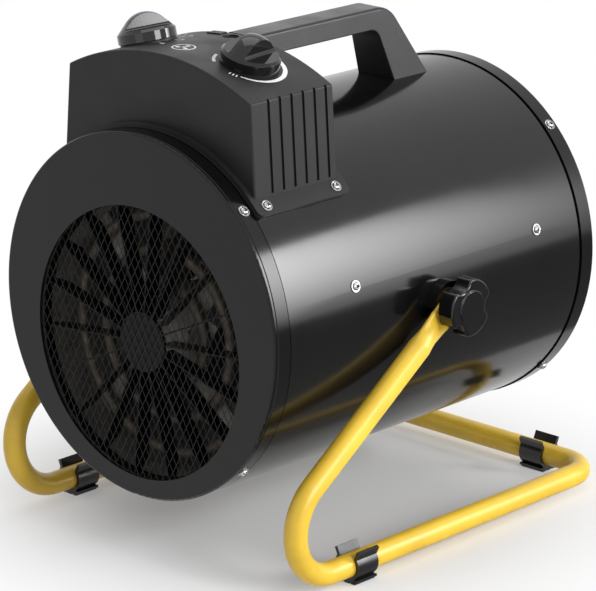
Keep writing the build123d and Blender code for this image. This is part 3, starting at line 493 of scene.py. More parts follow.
@dataclass(frozen=True)
class Ink(Finish):
    """Pad printed ink, thin and slightly uneven."""

    def dress(self, tree: ShaderTree) -> None:
        """Uneven cover and pinholes.

        Args:
            tree: the material's tree.
        """
        holes = tree.between(tree.noise(2400.0, 4.0, 0.7), 0.62, 0.72, 0.0, 0.5)
        tree.set(Base_Color=tree.tint(holes, self.colour, self.shade(0.35)))
        self.roughen(tree, tree.noise(300.0, 3.0), (0.3, 0.7), (0.8, 1.2))
        tree.relief((tree.noise(1800.0, 2.0), 0.3, 0.00001))


FINISHES: dict[str, Finish] = {
    "stand_paint": PowderCoat("yellow_powder_coat", (0.83, 0.54, 0.041), 0.36),
    "clip_rubber": Rubber("black_clip_rubber", (0.009, 0.009, 0.0095), 0.32, shine=0.6,
                          bloom=(0.035, 0.034, 0.033)),
    "casing_paint": Enamel("gloss_black_enamel", (0.003, 0.003, 0.0032), 0.15, shine=0.41,
                           peel_depth=0.000004, wave_depth=0.0002),
    "cap_paint": Enamel("satin_black_enamel", (0.004, 0.004, 0.0042), 0.14, shine=0.28, peel=1300.0,
                       peel_depth=0.000005),
    "net_paint": Enamel("dark_mesh_enamel", (0.024, 0.024, 0.0245), 0.42, shine=0.35, peel=1600.0),
    "guard_paint": Enamel("matt_guard_enamel", (0.0025, 0.0025, 0.0026), 0.22, shine=0.14, peel=1600.0,
                          dust=0.2),
    "galvanised": Galvanised("heat_stained_zinc", (0.23, 0.22, 0.20), 0.5, 0.35, heat=(0.135, 0.115, 0.085)),
    "element_steel": HeatTint("scaled_element_tube", (0.07, 0.06, 0.05), 0.55, 0.4,
                              straw=(0.12, 0.098, 0.07), blue=(0.05, 0.052, 0.058)),
    "ceramic": Glaze("glazed_ceramic", (0.55, 0.50, 0.42), 0.3),
    "box_plastic": Moulded("grained_black_plastic", (0.017, 0.017, 0.0175), 0.46, shine=0.25, grain=1700.0,
                           grain_depth=0.00004),
    "handle_plastic": Moulded("grained_grey_plastic", (0.016, 0.016, 0.0168), 0.36, shine=0.36, grain=1300.0,
                              grain_depth=0.00008, rubbed=0.7),
    "knob_plastic": Moulded("polished_black_plastic", (0.003, 0.003, 0.0032), 0.09, shine=0.5, grain=700.0,
                            grain_depth=0.000004),
    "screw_chrome": Plated("bright_plating", (0.5, 0.5, 0.51), 0.14, 1.0, haze=0.3, stain=(0.24, 0.23, 0.21)),
    "zinc_steel": Plated("dull_zinc_plating", (0.45, 0.45, 0.44), 0.36, 1.0, scratch=0.00002,
                         stretch=(1.0, 0.06, 1.0)),
    "motor_metal": Cast("cast_motor_shell", (0.10, 0.10, 0.103), 0.5, 0.8),
    "fan_metal": Cast("pressed_fan_metal", (0.05, 0.05, 0.051), 0.5, 0.6, pebble=900.0),
    "gland_nylon": Moulded("black_nylon", (0.014, 0.014, 0.014), 0.42, shine=0.35, grain=1500.0),
    "seal_rubber": Rubber("seal_rubber", (0.018, 0.018, 0.018), 0.7, shine=0.3),
    "reset_plastic": Moulded("smooth_dark_plastic", (0.02, 0.02, 0.02), 0.25, grain=900.0,
                             grain_depth=0.000005),
}
DIAL_INK = Ink("white_dial_ink", (0.90, 0.90, 0.89), 0.5)


# ---------------- mesh helpers
def put(name: str, data: bpy.types.ID) -> bpy.types.Object:
    """Puts a new object with its data into the scene.

    Args:
        name: the object's name.
        data: its mesh, type, lamp or camera.

    Returns:
        The object.
    """
    piece = bpy.data.objects.new(name, data)
    bpy.context.scene.collection.objects.link(piece)
    return piece


def evaluated(piece: bpy.types.Object) -> bpy.types.Mesh:
    """The plain mesh that an object's modifiers or type give."""
    graph = bpy.context.evaluated_depsgraph_get()
    return bpy.data.meshes.new_from_object(piece.evaluated_get(graph), depsgraph=graph)


def bridge(shape: Shape, near: Sequence[bmesh.types.BMVert], far: Sequence[bmesh.types.BMVert]) -> None:
    """Joins two closed loops of points by a strip of faces.

    Args:
        shape: the mesh in the making.
        near: first loop.
        far: second loop, each point opposite one of the first.
    """
    for i in range(len(near)):
        j = (i + 1) % len(near)
        shape.faces.new((near[i], near[j], far[j], far[i]))


def polar(centre: Point2, radius: float, angle: float) -> Point2:
    """A point at a radius and an angle in degrees round a centre."""
    turn = math.radians(angle)
    return centre[0] + radius * math.cos(turn), centre[1] + radius * math.sin(turn)


def circle(centre: Point2, radius: float, steps: int = 48) -> list[Point2]:
    """The points of a circle, anticlockwise."""
    turns = [2 * math.pi * i / steps for i in range(steps)]
    return [(centre[0] + radius * math.cos(t), centre[1] + radius * math.sin(t)) for t in turns]


def mesh_piece(name: str, shape: Shape, material: bpy.types.Material,
               smooth_angle: float = 35.0) -> bpy.types.Object:
    """Turns a mesh in the making into a finished object.

    Args:
        name: the object's name.
        shape: the mesh in the making; it is freed.
        material: the finish.
        smooth_angle: edges sharper than this many degrees stay sharp.

    Returns:
        The new object.
    """
    bmesh.ops.recalc_face_normals(shape, faces=shape.faces)
    mesh = bpy.data.meshes.new(name)
    shape.to_mesh(mesh)
    shape.free()
    mesh.materials.append(material)
    mesh.polygons.foreach_set("use_smooth", [True] * len(mesh.polygons))
    mesh.set_sharp_from_angle(angle=math.radians(smooth_angle))
    return put(name, mesh)


class GeometryTree(NodeTree):
    """A Geometry Nodes tree with named inputs, for pieces that repeat."""

    def __init__(self, name: str) -> None:
        """Makes an empty tree with a geometry input and output.

        Args:
            name: the tree's name.
        """
        super().__init__(bpy.data.node_groups.new(name, "GeometryNodeTree"))
        self.tree.is_modifier = True
        for way in ("INPUT", "OUTPUT"):
            self.tree.interface.new_socket("Geometry", in_out=way, socket_type="NodeSocketGeometry")
        self.source = self.tree.nodes.new("NodeGroupInput")
        self.sink = self.tree.nodes.new("NodeGroupOutput")

    def size(self, name: str, kind: str = "Float") -> Socket:
        """Adds a named input of the kind Float, Int, Vector, Object or Material."""
        self.tree.interface.new_socket(name, in_out="INPUT", socket_type="NodeSocket" + kind)
        return self.source.outputs[name]

    def vector(self, x: Any = 0.0, y: Any = 0.0, z: Any = 0.0) -> Socket:
        """A vector from its three parts."""
        return self.add("ShaderNodeCombineXYZ", X=x, Y=y, Z=z).outputs[0]

    def spot(self) -> Any:
        """The place of each point, as its three parts."""
        place = self.add("GeometryNodeInputPosition").outputs[0]
        return self.add("ShaderNodeSeparateXYZ", Vector=place).outputs

    def end(self, geometry: Socket, material: Socket) -> None:
        """Realises the instances, sets the material and closes the tree.

        Args:
            geometry: what the tree has made.
            material: the input that holds the finish.
        """
        real = self.add("GeometryNodeRealizeInstances", Geometry=geometry)
        dressed = self.add("GeometryNodeSetMaterial", Geometry=real.outputs[0], Material=material)
        self.plug(dressed.outputs[0], self.sink.inputs[0])

    def run(self, name: str, values: dict[str, Any], seed: bpy.types.Mesh | None = None) -> bpy.types.Object:
        """Evaluates the tree and keeps the result as a plain mesh object.

        Args:
            name: the new object's name.
            values: a value for each named input.
            seed: the mesh that the tree starts from, if it needs one.

        Returns:
            The new object, at the origin.
        """
        holder = put(name + "_holder", seed or bpy.data.meshes.new(name + "_holder"))
        modifier = holder.modifiers.new("nodes", "NODES")
        modifier.node_group = self.tree
        for item in self.tree.interface.items_tree:
            if item.in_out == "INPUT" and item.name in values:
                modifier[item.identifier] = values[item.name]
        mesh = evaluated(holder)
        bpy.data.objects.remove(holder)
        return put(name, mesh)


# ---------------- what the pieces share
class Body(Enum):
    """The moving bodies that added pieces ride on."""

    HOUSING = "housing"
    SELECTOR = "selector"
    THERMOSTAT = "thermostat"
    CLAMP_RIGHT = "clamp_right"
    CLAMP_LEFT = "clamp_left"


class Heater:
    """The loaded frame, the casing's own axes and the built finishes."""

    def __init__(self) -> None:
        """Loads the frame and builds every finish once."""
        self.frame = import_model()
        self.cad_box = [list(corner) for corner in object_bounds()]
        low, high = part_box("casing")
        self.axis_z = (low.z + high.z) / 2
        self.face_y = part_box("front_cap")[0].y
        self.finishes = {slot: finish.build() for slot, finish in FINISHES.items()}
        self.ink = DIAL_INK.build()

    def at(self, x: float, y: float, z: float) -> Vector:
        """A point given in millimetres from the casing's axis and the front plate."""
        return Vector((x * MM, self.face_y + y * MM, self.axis_z + z * MM))

    def node(self, name: str) -> bpy.types.Object:
        """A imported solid's object."""
        return self.frame["nodes"][name]

    def dress_solids(self) -> None:
        """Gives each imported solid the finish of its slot."""
        for part in self.frame["record"]["subparts"]:
            mesh = self.node(part["node"]).data
            mesh.materials.clear()
            mesh.materials.append(self.finishes[part["material_slot"]])
            log.info("dressed %s with %s", part["node"], part["material_slot"])

    def fit(self, piece: bpy.types.Object, body: Body, slot: str, *nodes: str) -> None:
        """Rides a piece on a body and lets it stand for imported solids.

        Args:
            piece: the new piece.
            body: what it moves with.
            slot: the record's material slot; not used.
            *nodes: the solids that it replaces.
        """
        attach(piece, body.value)
        if nodes:
            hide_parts(*nodes)
        log.info("made %s: %d faces on %s", piece.name, len(piece.data.polygons), body.value)


@dataclass(frozen=True)
class EasedEdges:
    """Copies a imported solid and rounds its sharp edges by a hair, as a moulding has."""

    width: float
    angle: float = 32.0
    segments: int = 2
    flat: float = 0.6
    weld: float = 0.002

    def copy(self, heater: Heater, node: str, name: str) -> bpy.types.Object:
        """Makes the rounded copy.

        Args:
            heater: the frame.
            node: the solid's name.
            name: the new object's name.

        Returns:
            The new object, with plain mesh data.
        """
        source = heater.node(node).data
        shape = bmesh.new()
        shape.from_mesh(source)
        bmesh.ops.remove_doubles(shape, verts=shape.verts, dist=self.weld * MM)
        bmesh.ops.dissolve_limit(shape, angle_limit=math.radians(self.flat), verts=shape.verts,
                                 edges=shape.edges)
        piece = mesh_piece(name, shape, source.materials[0])
        bevel = piece.modifiers.new("edges", "BEVEL")
        bevel.width = self.width * MM
        bevel.segments = self.segments
        bevel.limit_method = "ANGLE"
        bevel.angle_limit = math.radians(self.angle)
        bevel.use_clamp_overlap = True
        even = piece.modifiers.new("even", "WEIGHTED_NORMAL")
        even.weight = 100
        even.keep_sharp = False
        mesh = evaluated(piece)
        piece.modifiers.clear()
        piece.data = mesh
        return piece


# ---------------- air outlet
@dataclass
class AirOutlet:
    """The fine expanded mesh behind the front plate."""

    net_r: float = 99.6
    drop: float = 18.0
    depth: float = 1.8
    diamond_wide: float = 6.3
    diamond_high: float = 11.5
    strand_r: float = 0.43
    strand_flat: float = 0.8
    strand_sides: int = 6
    rim_sides: int = 96

    def tree(self) -> GeometryTree:
        """Zigzag strands row by row, cut to a disc inside a rim wire.

        Returns:
            The tree.
        """
        net = GeometryTree("expanded_mesh")
        radius, wide, high = (net.size(n) for n in ("Radius", "Diamond width", "Diamond height"))
        rows, steps = net.size("Rows", "Int"), net.size("Steps", "Int")
        wire, flat = net.size("Wire radius"), net.size("Flatness")
        centre, material = net.size("Centre", "Vector"), net.size("Material", "Material")
        half_run = net.calc("MULTIPLY", net.calc("MULTIPLY", wide, 0.25), net.calc("SUBTRACT", steps, 1.0))
        left = net.vector(net.calc("MULTIPLY", half_run, -1.0))
        line = net.add("GeometryNodeCurvePrimitiveLine", Start=left, End=net.vector(half_run))
        strand = net.add("GeometryNodeResampleCurve", Curve=line.outputs[0], Count=steps)
        half_high = net.calc("MULTIPLY", high, 0.5)
        lowest = net.calc("MULTIPLY", net.calc("MULTIPLY", half_high, -0.5), net.calc("SUBTRACT", rows, 1.0))
        stack = net.add("GeometryNodeMeshLine", Count=rows, Start_Location=net.vector(z=lowest),
                        Offset=net.vector(z=half_high))
        strands = net.add("GeometryNodeInstanceOnPoints", Points=stack.outputs[0], Instance=strand.outputs[0])
        real = net.add("GeometryNodeRealizeInstances", Geometry=strands.outputs[0])
        spot = net.spot()
        column = net.calc("ROUND", net.calc("DIVIDE", net.calc("ADD", spot[0], half_run),
                                            net.calc("MULTIPLY", wide, 0.5)))
        row = net.calc("ROUND", net.calc("DIVIDE", net.calc("SUBTRACT", spot[2], lowest), half_high))
        odd = net.calc("MODULO", net.calc("ADD", column, row), 2.0)
        lift = net.calc("MULTIPLY", net.calc("SUBTRACT", odd, 0.5), half_high)
        zigzag = net.add("GeometryNodeSetPosition", Geometry=real.outputs[0], Offset=net.vector(z=lift))
        length = net.add("ShaderNodeVectorMath", {"operation": "LENGTH"},
                         Vector=net.add("GeometryNodeInputPosition").outputs[0])
        outside = net.calc("GREATER_THAN", length.outputs["Value"], net.calc("SUBTRACT", radius, wire))
        disc = net.add("GeometryNodeDeleteGeometry", {"domain": "POINT"}, Geometry=zigzag.outputs[0],
                       Selection=outside)
        profile = net.add("GeometryNodeCurvePrimitiveCircle", Resolution=self.strand_sides, Radius=wire)
        wires = net.add("GeometryNodeCurveToMesh", Curve=disc.outputs[0], Profile_Curve=profile.outputs[0],
                        Fill_Caps=True)
        rim = net.add("GeometryNodeCurvePrimitiveCircle", Resolution=self.rim_sides,
                      Radius=net.calc("SUBTRACT", radius, wire))
        upright = net.add("GeometryNodeTransform", Geometry=rim.outputs[0], Rotation=(math.pi / 2, 0.0, 0.0))
        hoop = net.add("GeometryNodeCurveToMesh", Curve=upright.outputs[0], Profile_Curve=profile.outputs[0])
        both = net.add("GeometryNodeJoinGeometry")
        for part in (hoop, wires):
            net.plug(part.outputs[0], both.inputs[0])
        placed = net.add("GeometryNodeTransform", Geometry=both.outputs[0], Translation=centre,
                         Scale=net.vector(1.0, flat, 1.0))
        smooth = net.add("GeometryNodeSetShadeSmooth", Geometry=placed.outputs[0])
        net.end(smooth.outputs[0], material)
        return net

    def build(self, heater: Heater) -> None:
        """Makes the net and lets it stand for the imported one.

        Args:
            heater: the frame.
        """
        values = {
            "Radius": self.net_r * MM, "Diamond width": self.diamond_wide * MM,
            "Diamond height": self.diamond_high * MM, "Wire radius": self.strand_r * MM,
            "Rows": 2 * math.ceil(self.net_r / self.diamond_high * 2) + 1,
            "Steps": 2 * math.ceil(self.net_r / self.diamond_wide * 2) + 1,
            "Flatness": self.strand_flat, "Centre": heater.at(0, self.depth, -self.drop),
            "Material": heater.finishes["net_paint"],
        }
        piece = self.tree().run("expanded_outlet_mesh", values)
        heater.fit(piece, Body.HOUSING, "net_paint", "outlet_net")


# ---------------- screws
@dataclass(frozen=True)
class ScrewGroup:
    """The screws of one packed group, in millimetres and degrees round the casing's axis."""

    name: str
    along: tuple[float, ...]
    angles: tuple[float, ...]
    seat_r: float

    def seats(self, heater: Heater) -> list[Vector]:
        """The places of the heads' undersides.

        Args:
            heater: the frame.

        Returns:
            One point for each screw.
        """
        spots = [(y, *polar((0.0, 0.0), self.seat_r, angle)) for y in self.along for angle in self.angles]
        return [heater.at(x, y, z) for y, x, z in spots]


CASING_R = 125.0
REAR_PROUD = 0.9
FLANGE_HIGH = 3.5
CORNERS = (45.0, 135.0, 225.0, 315.0)
SCREW_GROUPS = (
    ScrewGroup("front_band_screws", (9.6,), CORNERS, CASING_R),
    ScrewGroup("rear_band_screws", (320.6,), CORNERS, CASING_R + REAR_PROUD),
    ScrewGroup("casing_side_screws", (80.5, 268.0), (13.8, 166.2), CASING_R),
    ScrewGroup("flange_screws", (26.8, 92.9), (44.1095, 135.8905), CASING_R + FLANGE_HIGH),
)


@dataclass
class PanHeadScrews:
    """Cross recessed pan head screws, all pointing at the casing's axis."""

    head_r: float = 4.1
    head_high: float = 2.5
    shank_r: float = 1.9
    shank_len: float = 7.0
    pan_r: float = 2.85
    recess_long: float = 2.0
    recess_wide: float = 0.66
    recess_deep: float = 2.2
    sides: int = 28
    foot_ease: float = 0.15
    washer_high: float = 0.5
    washer_top: float = 0.7
    washer_ease: float = 0.2
    groove_out: float = 0.4
    groove_in: float = 0.3
    groove_floor: float = -0.1
    pan_foot: float = 0.9
    crown_turn: float = math.pi / 3.2
    crown_curve: float = 0.8
    mouth_lift: float = 0.05
    recess_taper: float = 0.45

    def ring(self, shape: Shape, radius: float, height: float) -> list[bmesh.types.BMVert]:
        """A circle of points at a height above the head's underside, in millimetres."""
        return [shape.verts.new(Vector((x, y, height)) * MM) for x, y in circle((0, 0), radius, self.sides)]

    def cross(self, shape: Shape, scale: float, height: float) -> list[bmesh.types.BMVert]:
        """The outline of the cross recess.

        Args:
            shape: the mesh in the making.
            scale: share of the full size.
            height: above the head's underside, in millimetres.

        Returns:
            The points in order.
        """
        wide, long = self.recess_wide * scale ** 0.5, self.recess_long * scale
        arm = (Vector((wide, -wide)), Vector((long, -wide)), Vector((long, wide)))
        turns = [Matrix.Rotation(quarter * math.pi / 2, 2) for quarter in range(4)]
        corners = [turn @ corner for turn in turns for corner in arm]
        return [shape.verts.new(Vector((p.x, p.y, height)) * MM) for p in corners]

    def head(self, material: bpy.types.Material) -> bpy.types.Object:
        """One screw along +Z with its head's underside at 0.

        Args:
            material: the finish.

        Returns:
            The pattern that the trees copy.
        """
        shape = bmesh.new()
        profile = [
            (self.shank_r, -self.shank_len), (self.shank_r, 0), (self.head_r - self.foot_ease, 0),
            (self.head_r, self.foot_ease), (self.head_r, self.washer_high),
            (self.head_r - self.washer_ease, self.washer_top),
            (self.pan_r + self.groove_out, self.washer_top),
            (self.pan_r + self.groove_in, self.groove_floor), (self.pan_r, self.groove_floor),
        ]
        for part in (0.0, 0.3, 0.55, 0.8, 1.0):
            turn = part * self.crown_turn
            rise = (self.head_high - self.pan_foot) * math.sin(turn) ** self.crown_curve
            profile.append((self.pan_r * math.cos(turn), self.pan_foot + rise))
        rings = [self.ring(shape, radius, height) for radius, height in profile]
        for low, high in zip(rings, rings[1:]):
            bridge(shape, low, high)
        shape.faces.new(list(reversed(rings[0])))
        top = profile[-1][1]
        mouth = self.cross(shape, 1.0, top + self.mouth_lift)
        floor = self.cross(shape, self.recess_taper, top - self.recess_deep)
        bridge(shape, mouth, floor)
        shape.faces.new(floor)
        edges = [e for e in shape.edges if len(e.link_faces) == 1]
        bmesh.ops.triangle_fill(shape, edges=edges, use_beauty=True)
        return mesh_piece("screw_pattern", shape, material, 30.0)

    def tree(self) -> GeometryTree:
        """Puts a screw on each seat, pointing away from the casing's axis, each turned its own way.

        Returns:
            The tree.
        """
        net = GeometryTree("radial_screws")
        axis_z = net.size("Axis height")
        pattern, material = net.size("Screw", "Object"), net.size("Material", "Material")
        spot = net.spot()
        away = net.vector(spot[0], 0.0, net.calc("SUBTRACT", spot[2], axis_z))
        upright = net.add("FunctionNodeAlignRotationToVector", {"axis": "Z"}, Vector=away)
        roll = net.add("FunctionNodeRandomValue", {"data_type": "FLOAT"}, Seed=7)
        roll.inputs[3].default_value = math.pi
        turn = net.add("FunctionNodeAxisAngleToRotation", Angle=roll.outputs[1])
        both = net.add("FunctionNodeRotateRotation", {"rotation_space": "LOCAL"}, Rotation=upright.outputs[0],
                       Rotate_By=turn.outputs[0])
        info = net.add("GeometryNodeObjectInfo", Object=pattern)
        copies = net.add("GeometryNodeInstanceOnPoints", Points=net.source.outputs[0],
                         Instance=info.outputs["Geometry"], Rotation=both.outputs[0])
        net.end(copies.outputs[0], material)
        return net

    def build(self, heater: Heater) -> None:
        """Makes the screws of every group.

        Args:
            heater: the frame.
        """
        material = heater.finishes["screw_chrome"]
        pattern, tree = self.head(material), self.tree()
        for group in SCREW_GROUPS:
            seed = bpy.data.meshes.new(group.name + "_seats")
            seed.from_pydata(group.seats(heater), [], [])
            values = {"Axis height": heater.axis_z, "Screw": pattern, "Material": material}
            piece = tree.run(group.name + "_pan_heads", values, seed)
            heater.fit(piece, Body.HOUSING, "screw_chrome", group.name)
        bpy.data.objects.remove(pattern)


# ---------------- control box
@dataclass
class ControlBox:
    """The ribbed moulding on the casing, with its printed dials."""

    heater: Heater
    prints: Shape = field(default_factory=bmesh.new)
    crown: float = 175.8
    top_radius: float = 181.88
    edge: float = 0.55
    knob_x: float = 46.5
    knob_y: float = 58.5
    ring_r: float = 22.4
    ring_thin: float = 0.7
    ring_wide: float = 3.1
    ring_turn: Point2 = (-60.0, 78.0)
    ring_rise: float = 1.6
    ring_curve: float = 0.8
    low_wide: float = 2.2
    low_turn: Point2 = (200.0, 236.0)
    low_steps: int = 20
    mark_angles: tuple[float, ...] = (282.0, 288.0, 294.0)
    step_angles: tuple[float, ...] = (-25.0, 8.0, 41.0, 74.0)
    tick_out: float = 25.0
    tick_half: float = 0.4
    number_r: float = 28.6
    number_size: float = 5.0
    sign_y: float = 45.0
    sign_r: float = 8.2
    sign_thin: float = 1.1
    blade_in: float = 1.6
    blade_len: float = 4.4
    blade_front: float = 26.0
    blade_back: float = 34.0
    blade_curve: float = 0.6
    hub_r: float = 1.1
    lift: float = 0.07
    sink: float = 0.1
    collar_r: float = 18.9
    collar_in: float = 15.0
    collar_high: float = 0.75
    collar_deep: float = 1.6
    collar_edge: float = 0.2
    collar_sides: int = 72

    def over(self, x: float, y: float, height: float) -> Vector:
        """A place over the arched top.

        Args:
            x: along the arc from the crown, in millimetres.
            y: along the casing.
            height: over the top.

        Returns:
            The place in the scene.
        """
        turn = x / self.top_radius
        reach = self.top_radius + height
        low = self.crown - self.top_radius
        return self.heater.at(reach * math.sin(turn), y, low + reach * math.cos(turn))

    def spots(self, line: Sequence[Point2], height: float) -> list[bmesh.types.BMVert]:
        """New points of the prints at a height over the arched top."""
        return [self.prints.verts.new(self.over(x, y, height)) for x, y in line]

    def plate(self, loop: Sequence[Point2], inner: Sequence[Point2] = ()) -> None:
        """Adds a thin closed print that follows the arched top.

        Args:
            loop: outline, anticlockwise, in millimetres along the arc and the casing.
            inner: matching inner outline of a ring, or nothing for a filled shape.
        """
        levels = [[self.spots(line, height) for line in (loop, inner) if line]
                  for height in (self.lift, -self.sink)]
        for level in levels:
            if inner:
                bridge(self.prints, *level)
            else:
                self.prints.faces.new(level[0])
        for high, low in zip(*levels):
            bridge(self.prints, high, low)

    def band(self, centre: Point2, ends: Point2, width: Callable[[float], float], steps: int = 60) -> None:
        """Adds a printed band round a knob.

        Args:
            centre: the knob's place, in millimetres.
            ends: first and last angle in degrees.
            width: the band's width for a share of the way.
            steps: number of pieces.
        """
        levels = []
        angles = [ends[0] + (ends[1] - ends[0]) * i / steps for i in range(steps + 1)]
        for height in (self.lift, -self.sink):
            near = self.spots([polar(centre, self.ring_r, angle) for angle in angles], height)
            far = self.spots([polar(centre, self.ring_r + width(i / steps), angle)
                              for i, angle in enumerate(angles)], height)
            for i in range(steps):
                self.prints.faces.new((near[i], far[i], far[i + 1], near[i + 1]))
            levels.append(far + near[::-1])
        bridge(self.prints, *levels)

    def fan_sign(self) -> None:
        """A plain ring with three curved blades, as on any fan control."""
        centre = (0.0, self.sign_y)
        self.plate(circle(centre, self.sign_r), circle(centre, self.sign_r - self.sign_thin))
        shares = (0.0, 0.2, 0.4, 0.6, 0.8, 1.0)
        for start in (90, 210, 330):
            front = [(share, self.blade_front * math.sin(math.pi * share)) for share in shares]
            back = [(share, -self.blade_back * share ** self.blade_curve * math.sin(math.pi * share))
                    for share in shares[:0:-1]]
            self.plate([polar(centre, self.blade_in + self.blade_len * share, start + sweep)
                        for share, sweep in front + back])
        self.plate(circle(centre, self.hub_r, 16))

    def ticks(self, centre: Point2, angles: Sequence[float]) -> None:
        """Short strokes round a knob.

        Args:
            centre: the knob's place.
            angles: where the strokes stand, in degrees.
        """
        for angle in angles:
            along = Vector((math.cos(math.radians(angle)), math.sin(math.radians(angle))))
            across = Vector((-along.y, along.x)) * self.tick_half
            near, far = (Vector(centre) + along * reach for reach in (self.ring_r, self.tick_out))
            self.plate([tuple(p) for p in (near - across, far - across, far + across, near + across)])

    def number(self, text: str, centre: Point2) -> bpy.types.Mesh:
        """A printed dial number that follows the arched top.

        Args:
            text: the number.
            centre: its middle, in millimetres.

        Returns:
            The closed mesh.
        """
        curve = bpy.data.curves.new("dial_number", "FONT")
        curve.body, curve.size = text, self.number_size
        curve.align_x, curve.align_y = "CENTER", "CENTER"
        curve.extrude = 1.0
        curve.resolution_u = 4
        holder = put("dial_number", curve)
        mesh = evaluated(holder)
        bpy.data.objects.remove(holder)
        shape = bmesh.new()
        shape.from_mesh(mesh)
        bmesh.ops.remove_doubles(shape, verts=shape.verts, dist=0.001)
        for vert in shape.verts:
            height = self.lift if vert.co.z > 0 else -self.sink
            vert.co = self.over(centre[0] + vert.co.x, centre[1] + vert.co.y, height)
        shape.to_mesh(mesh)
        shape.free()
        return mesh

    def collars(self) -> Shape:
        """Low round rims that close the gap under each knob.

        Returns:
            The mesh in the making.
        """
        shape = bmesh.new()
        profile = ((self.collar_r, -self.collar_deep), (self.collar_r, self.collar_high - self.collar_edge),
                   (self.collar_r - self.collar_edge, self.collar_high), (self.collar_in, self.collar_high),
                   (self.collar_in, -self.collar_deep))
        for side in (1.0, -1.0):
            lean = math.asin(self.knob_x / self.top_radius) * side
            out = Vector((math.sin(lean), 0.0, math.cos(lean)))
            across, along = Vector((out.z, 0.0, -out.x)), Vector((0.0, 1.0, 0.0))
            foot = Vector((0.0, self.knob_y, self.crown - self.top_radius)) + out * self.top_radius
            rings = []
            for radius, height in profile:
                spots = [foot + out * height + across * x + along * y
                         for x, y in circle((0, 0), radius, self.collar_sides)]
                rings.append([shape.verts.new(self.heater.at(*spot)) for spot in spots])
            for low, high in zip(rings, rings[1:] + rings[:1]):
                bridge(shape, low, high)
        return shape

    def keep(self, name: str, shape: Shape, material: bpy.types.Material) -> None:
        """Rides a finished mesh on the housing."""
        self.heater.fit(mesh_piece(name, shape, material), Body.HOUSING, "box_plastic")

    def ring_width(self, share: float) -> float:
        """The dial band's width, which grows with the share of the way."""
        grown = min(1.0, share * self.ring_rise) ** self.ring_curve
        return self.ring_thin + (self.ring_wide - self.ring_thin) * grown

    def build(self) -> None:
        """Eases the box's edges, closes the gaps under the knobs and prints the dials."""
        box = EasedEdges(self.edge).copy(self.heater, "control_box", "ribbed_control_box")
        self.heater.fit(box, Body.HOUSING, "box_plastic", "control_box")
        self.keep("knob_collars", self.collars(), self.heater.finishes["box_plastic"])
        arc_x = self.top_radius * math.asin(self.knob_x / self.top_radius)
        right, left = (arc_x, self.knob_y), (-arc_x, self.knob_y)
        self.band(right, self.ring_turn, self.ring_width)
        self.band(right, self.low_turn, lambda share: self.low_wide, self.low_steps)
        self.ticks(right, self.mark_angles)
        self.ticks(left, self.step_angles)
        self.fan_sign()
        self.keep("dial_prints", self.prints, self.heater.ink)
        figures = bmesh.new()
        for step, angle in enumerate(self.step_angles):
            figures.from_mesh(self.number(str(step), polar(left, self.number_r, angle)))
        self.keep("dial_numbers", figures, self.heater.ink)


# ---------------- knobs and clamps
@dataclass
class TouchPieces:
    """Knobs and clamps, with their mould edges eased."""

    knob_edge: float = 0.45
    clamp_edge: float = 0.5

    def build(self, heater: Heater) -> None:
        """Replaces the turned pieces by copies with eased edges.

        Args:
            heater: the frame.
        """
        for node, body, width in (
            ("selector_knob", Body.SELECTOR, self.knob_edge),
            ("thermostat_knob", Body.THERMOSTAT, self.knob_edge),
            ("clamp_knob_right", Body.CLAMP_RIGHT, self.clamp_edge),
            ("clamp_knob_left", Body.CLAMP_LEFT, self.clamp_edge),
        ):
            piece = EasedEdges(width).copy(heater, node, "eased_" + node)
            heater.fit(piece, body, "knob_plastic", node)


# ---------------- studio
@dataclass(frozen=True)
class SoftBox:
    """One large lamp; its brightness may fade across its width and down its height."""

    name: str
    place: Colour
    wide: float
    high: float
    power: float
    aim: Colour = (0.0, 0.0, 0.17)
    across: Point2 = (1.0, 1.0)
    upward: Point2 = (1.0, 1.0)

    def fade(self, lamp: bpy.types.AreaLight) -> None:
        """Grades the lamp with its own surface coordinates.

        Args:
            lamp: the lamp to grade.
        """
        lamp.use_nodes = True
        net = NodeTree(lamp.node_tree)
        place = net.add("ShaderNodeNewGeometry").outputs["Parametric"]
        parts = net.add("ShaderNodeSeparateXYZ", Vector=place).outputs
        ramps = [net.between(part, 0.0, 1.0, *ends) for part, ends in zip(parts, (self.across, self.upward))]
        net.plug(net.calc("MULTIPLY", *ramps), lamp.node_tree.nodes["Emission"].inputs["Strength"])

    def build(self) -> None:
        """Hangs the lamp and turns it to its aim."""
        lamp = bpy.data.lights.new(self.name, "AREA")
        lamp.shape = "RECTANGLE"
        lamp.size, lamp.size_y = self.wide, self.high
        lamp.energy = self.power
        if (self.across, self.upward) != ((1.0, 1.0), (1.0, 1.0)):
            self.fade(lamp)
        holder = put(self.name, lamp)
        holder.location = self.place
        holder.rotation_mode = "QUATERNION"
        holder.rotation_quaternion = (Vector(self.aim) - Vector(self.place)).to_track_quat("-Z", "Y")
        holder.visible_camera = False
        log.info("hung %s", self.name)


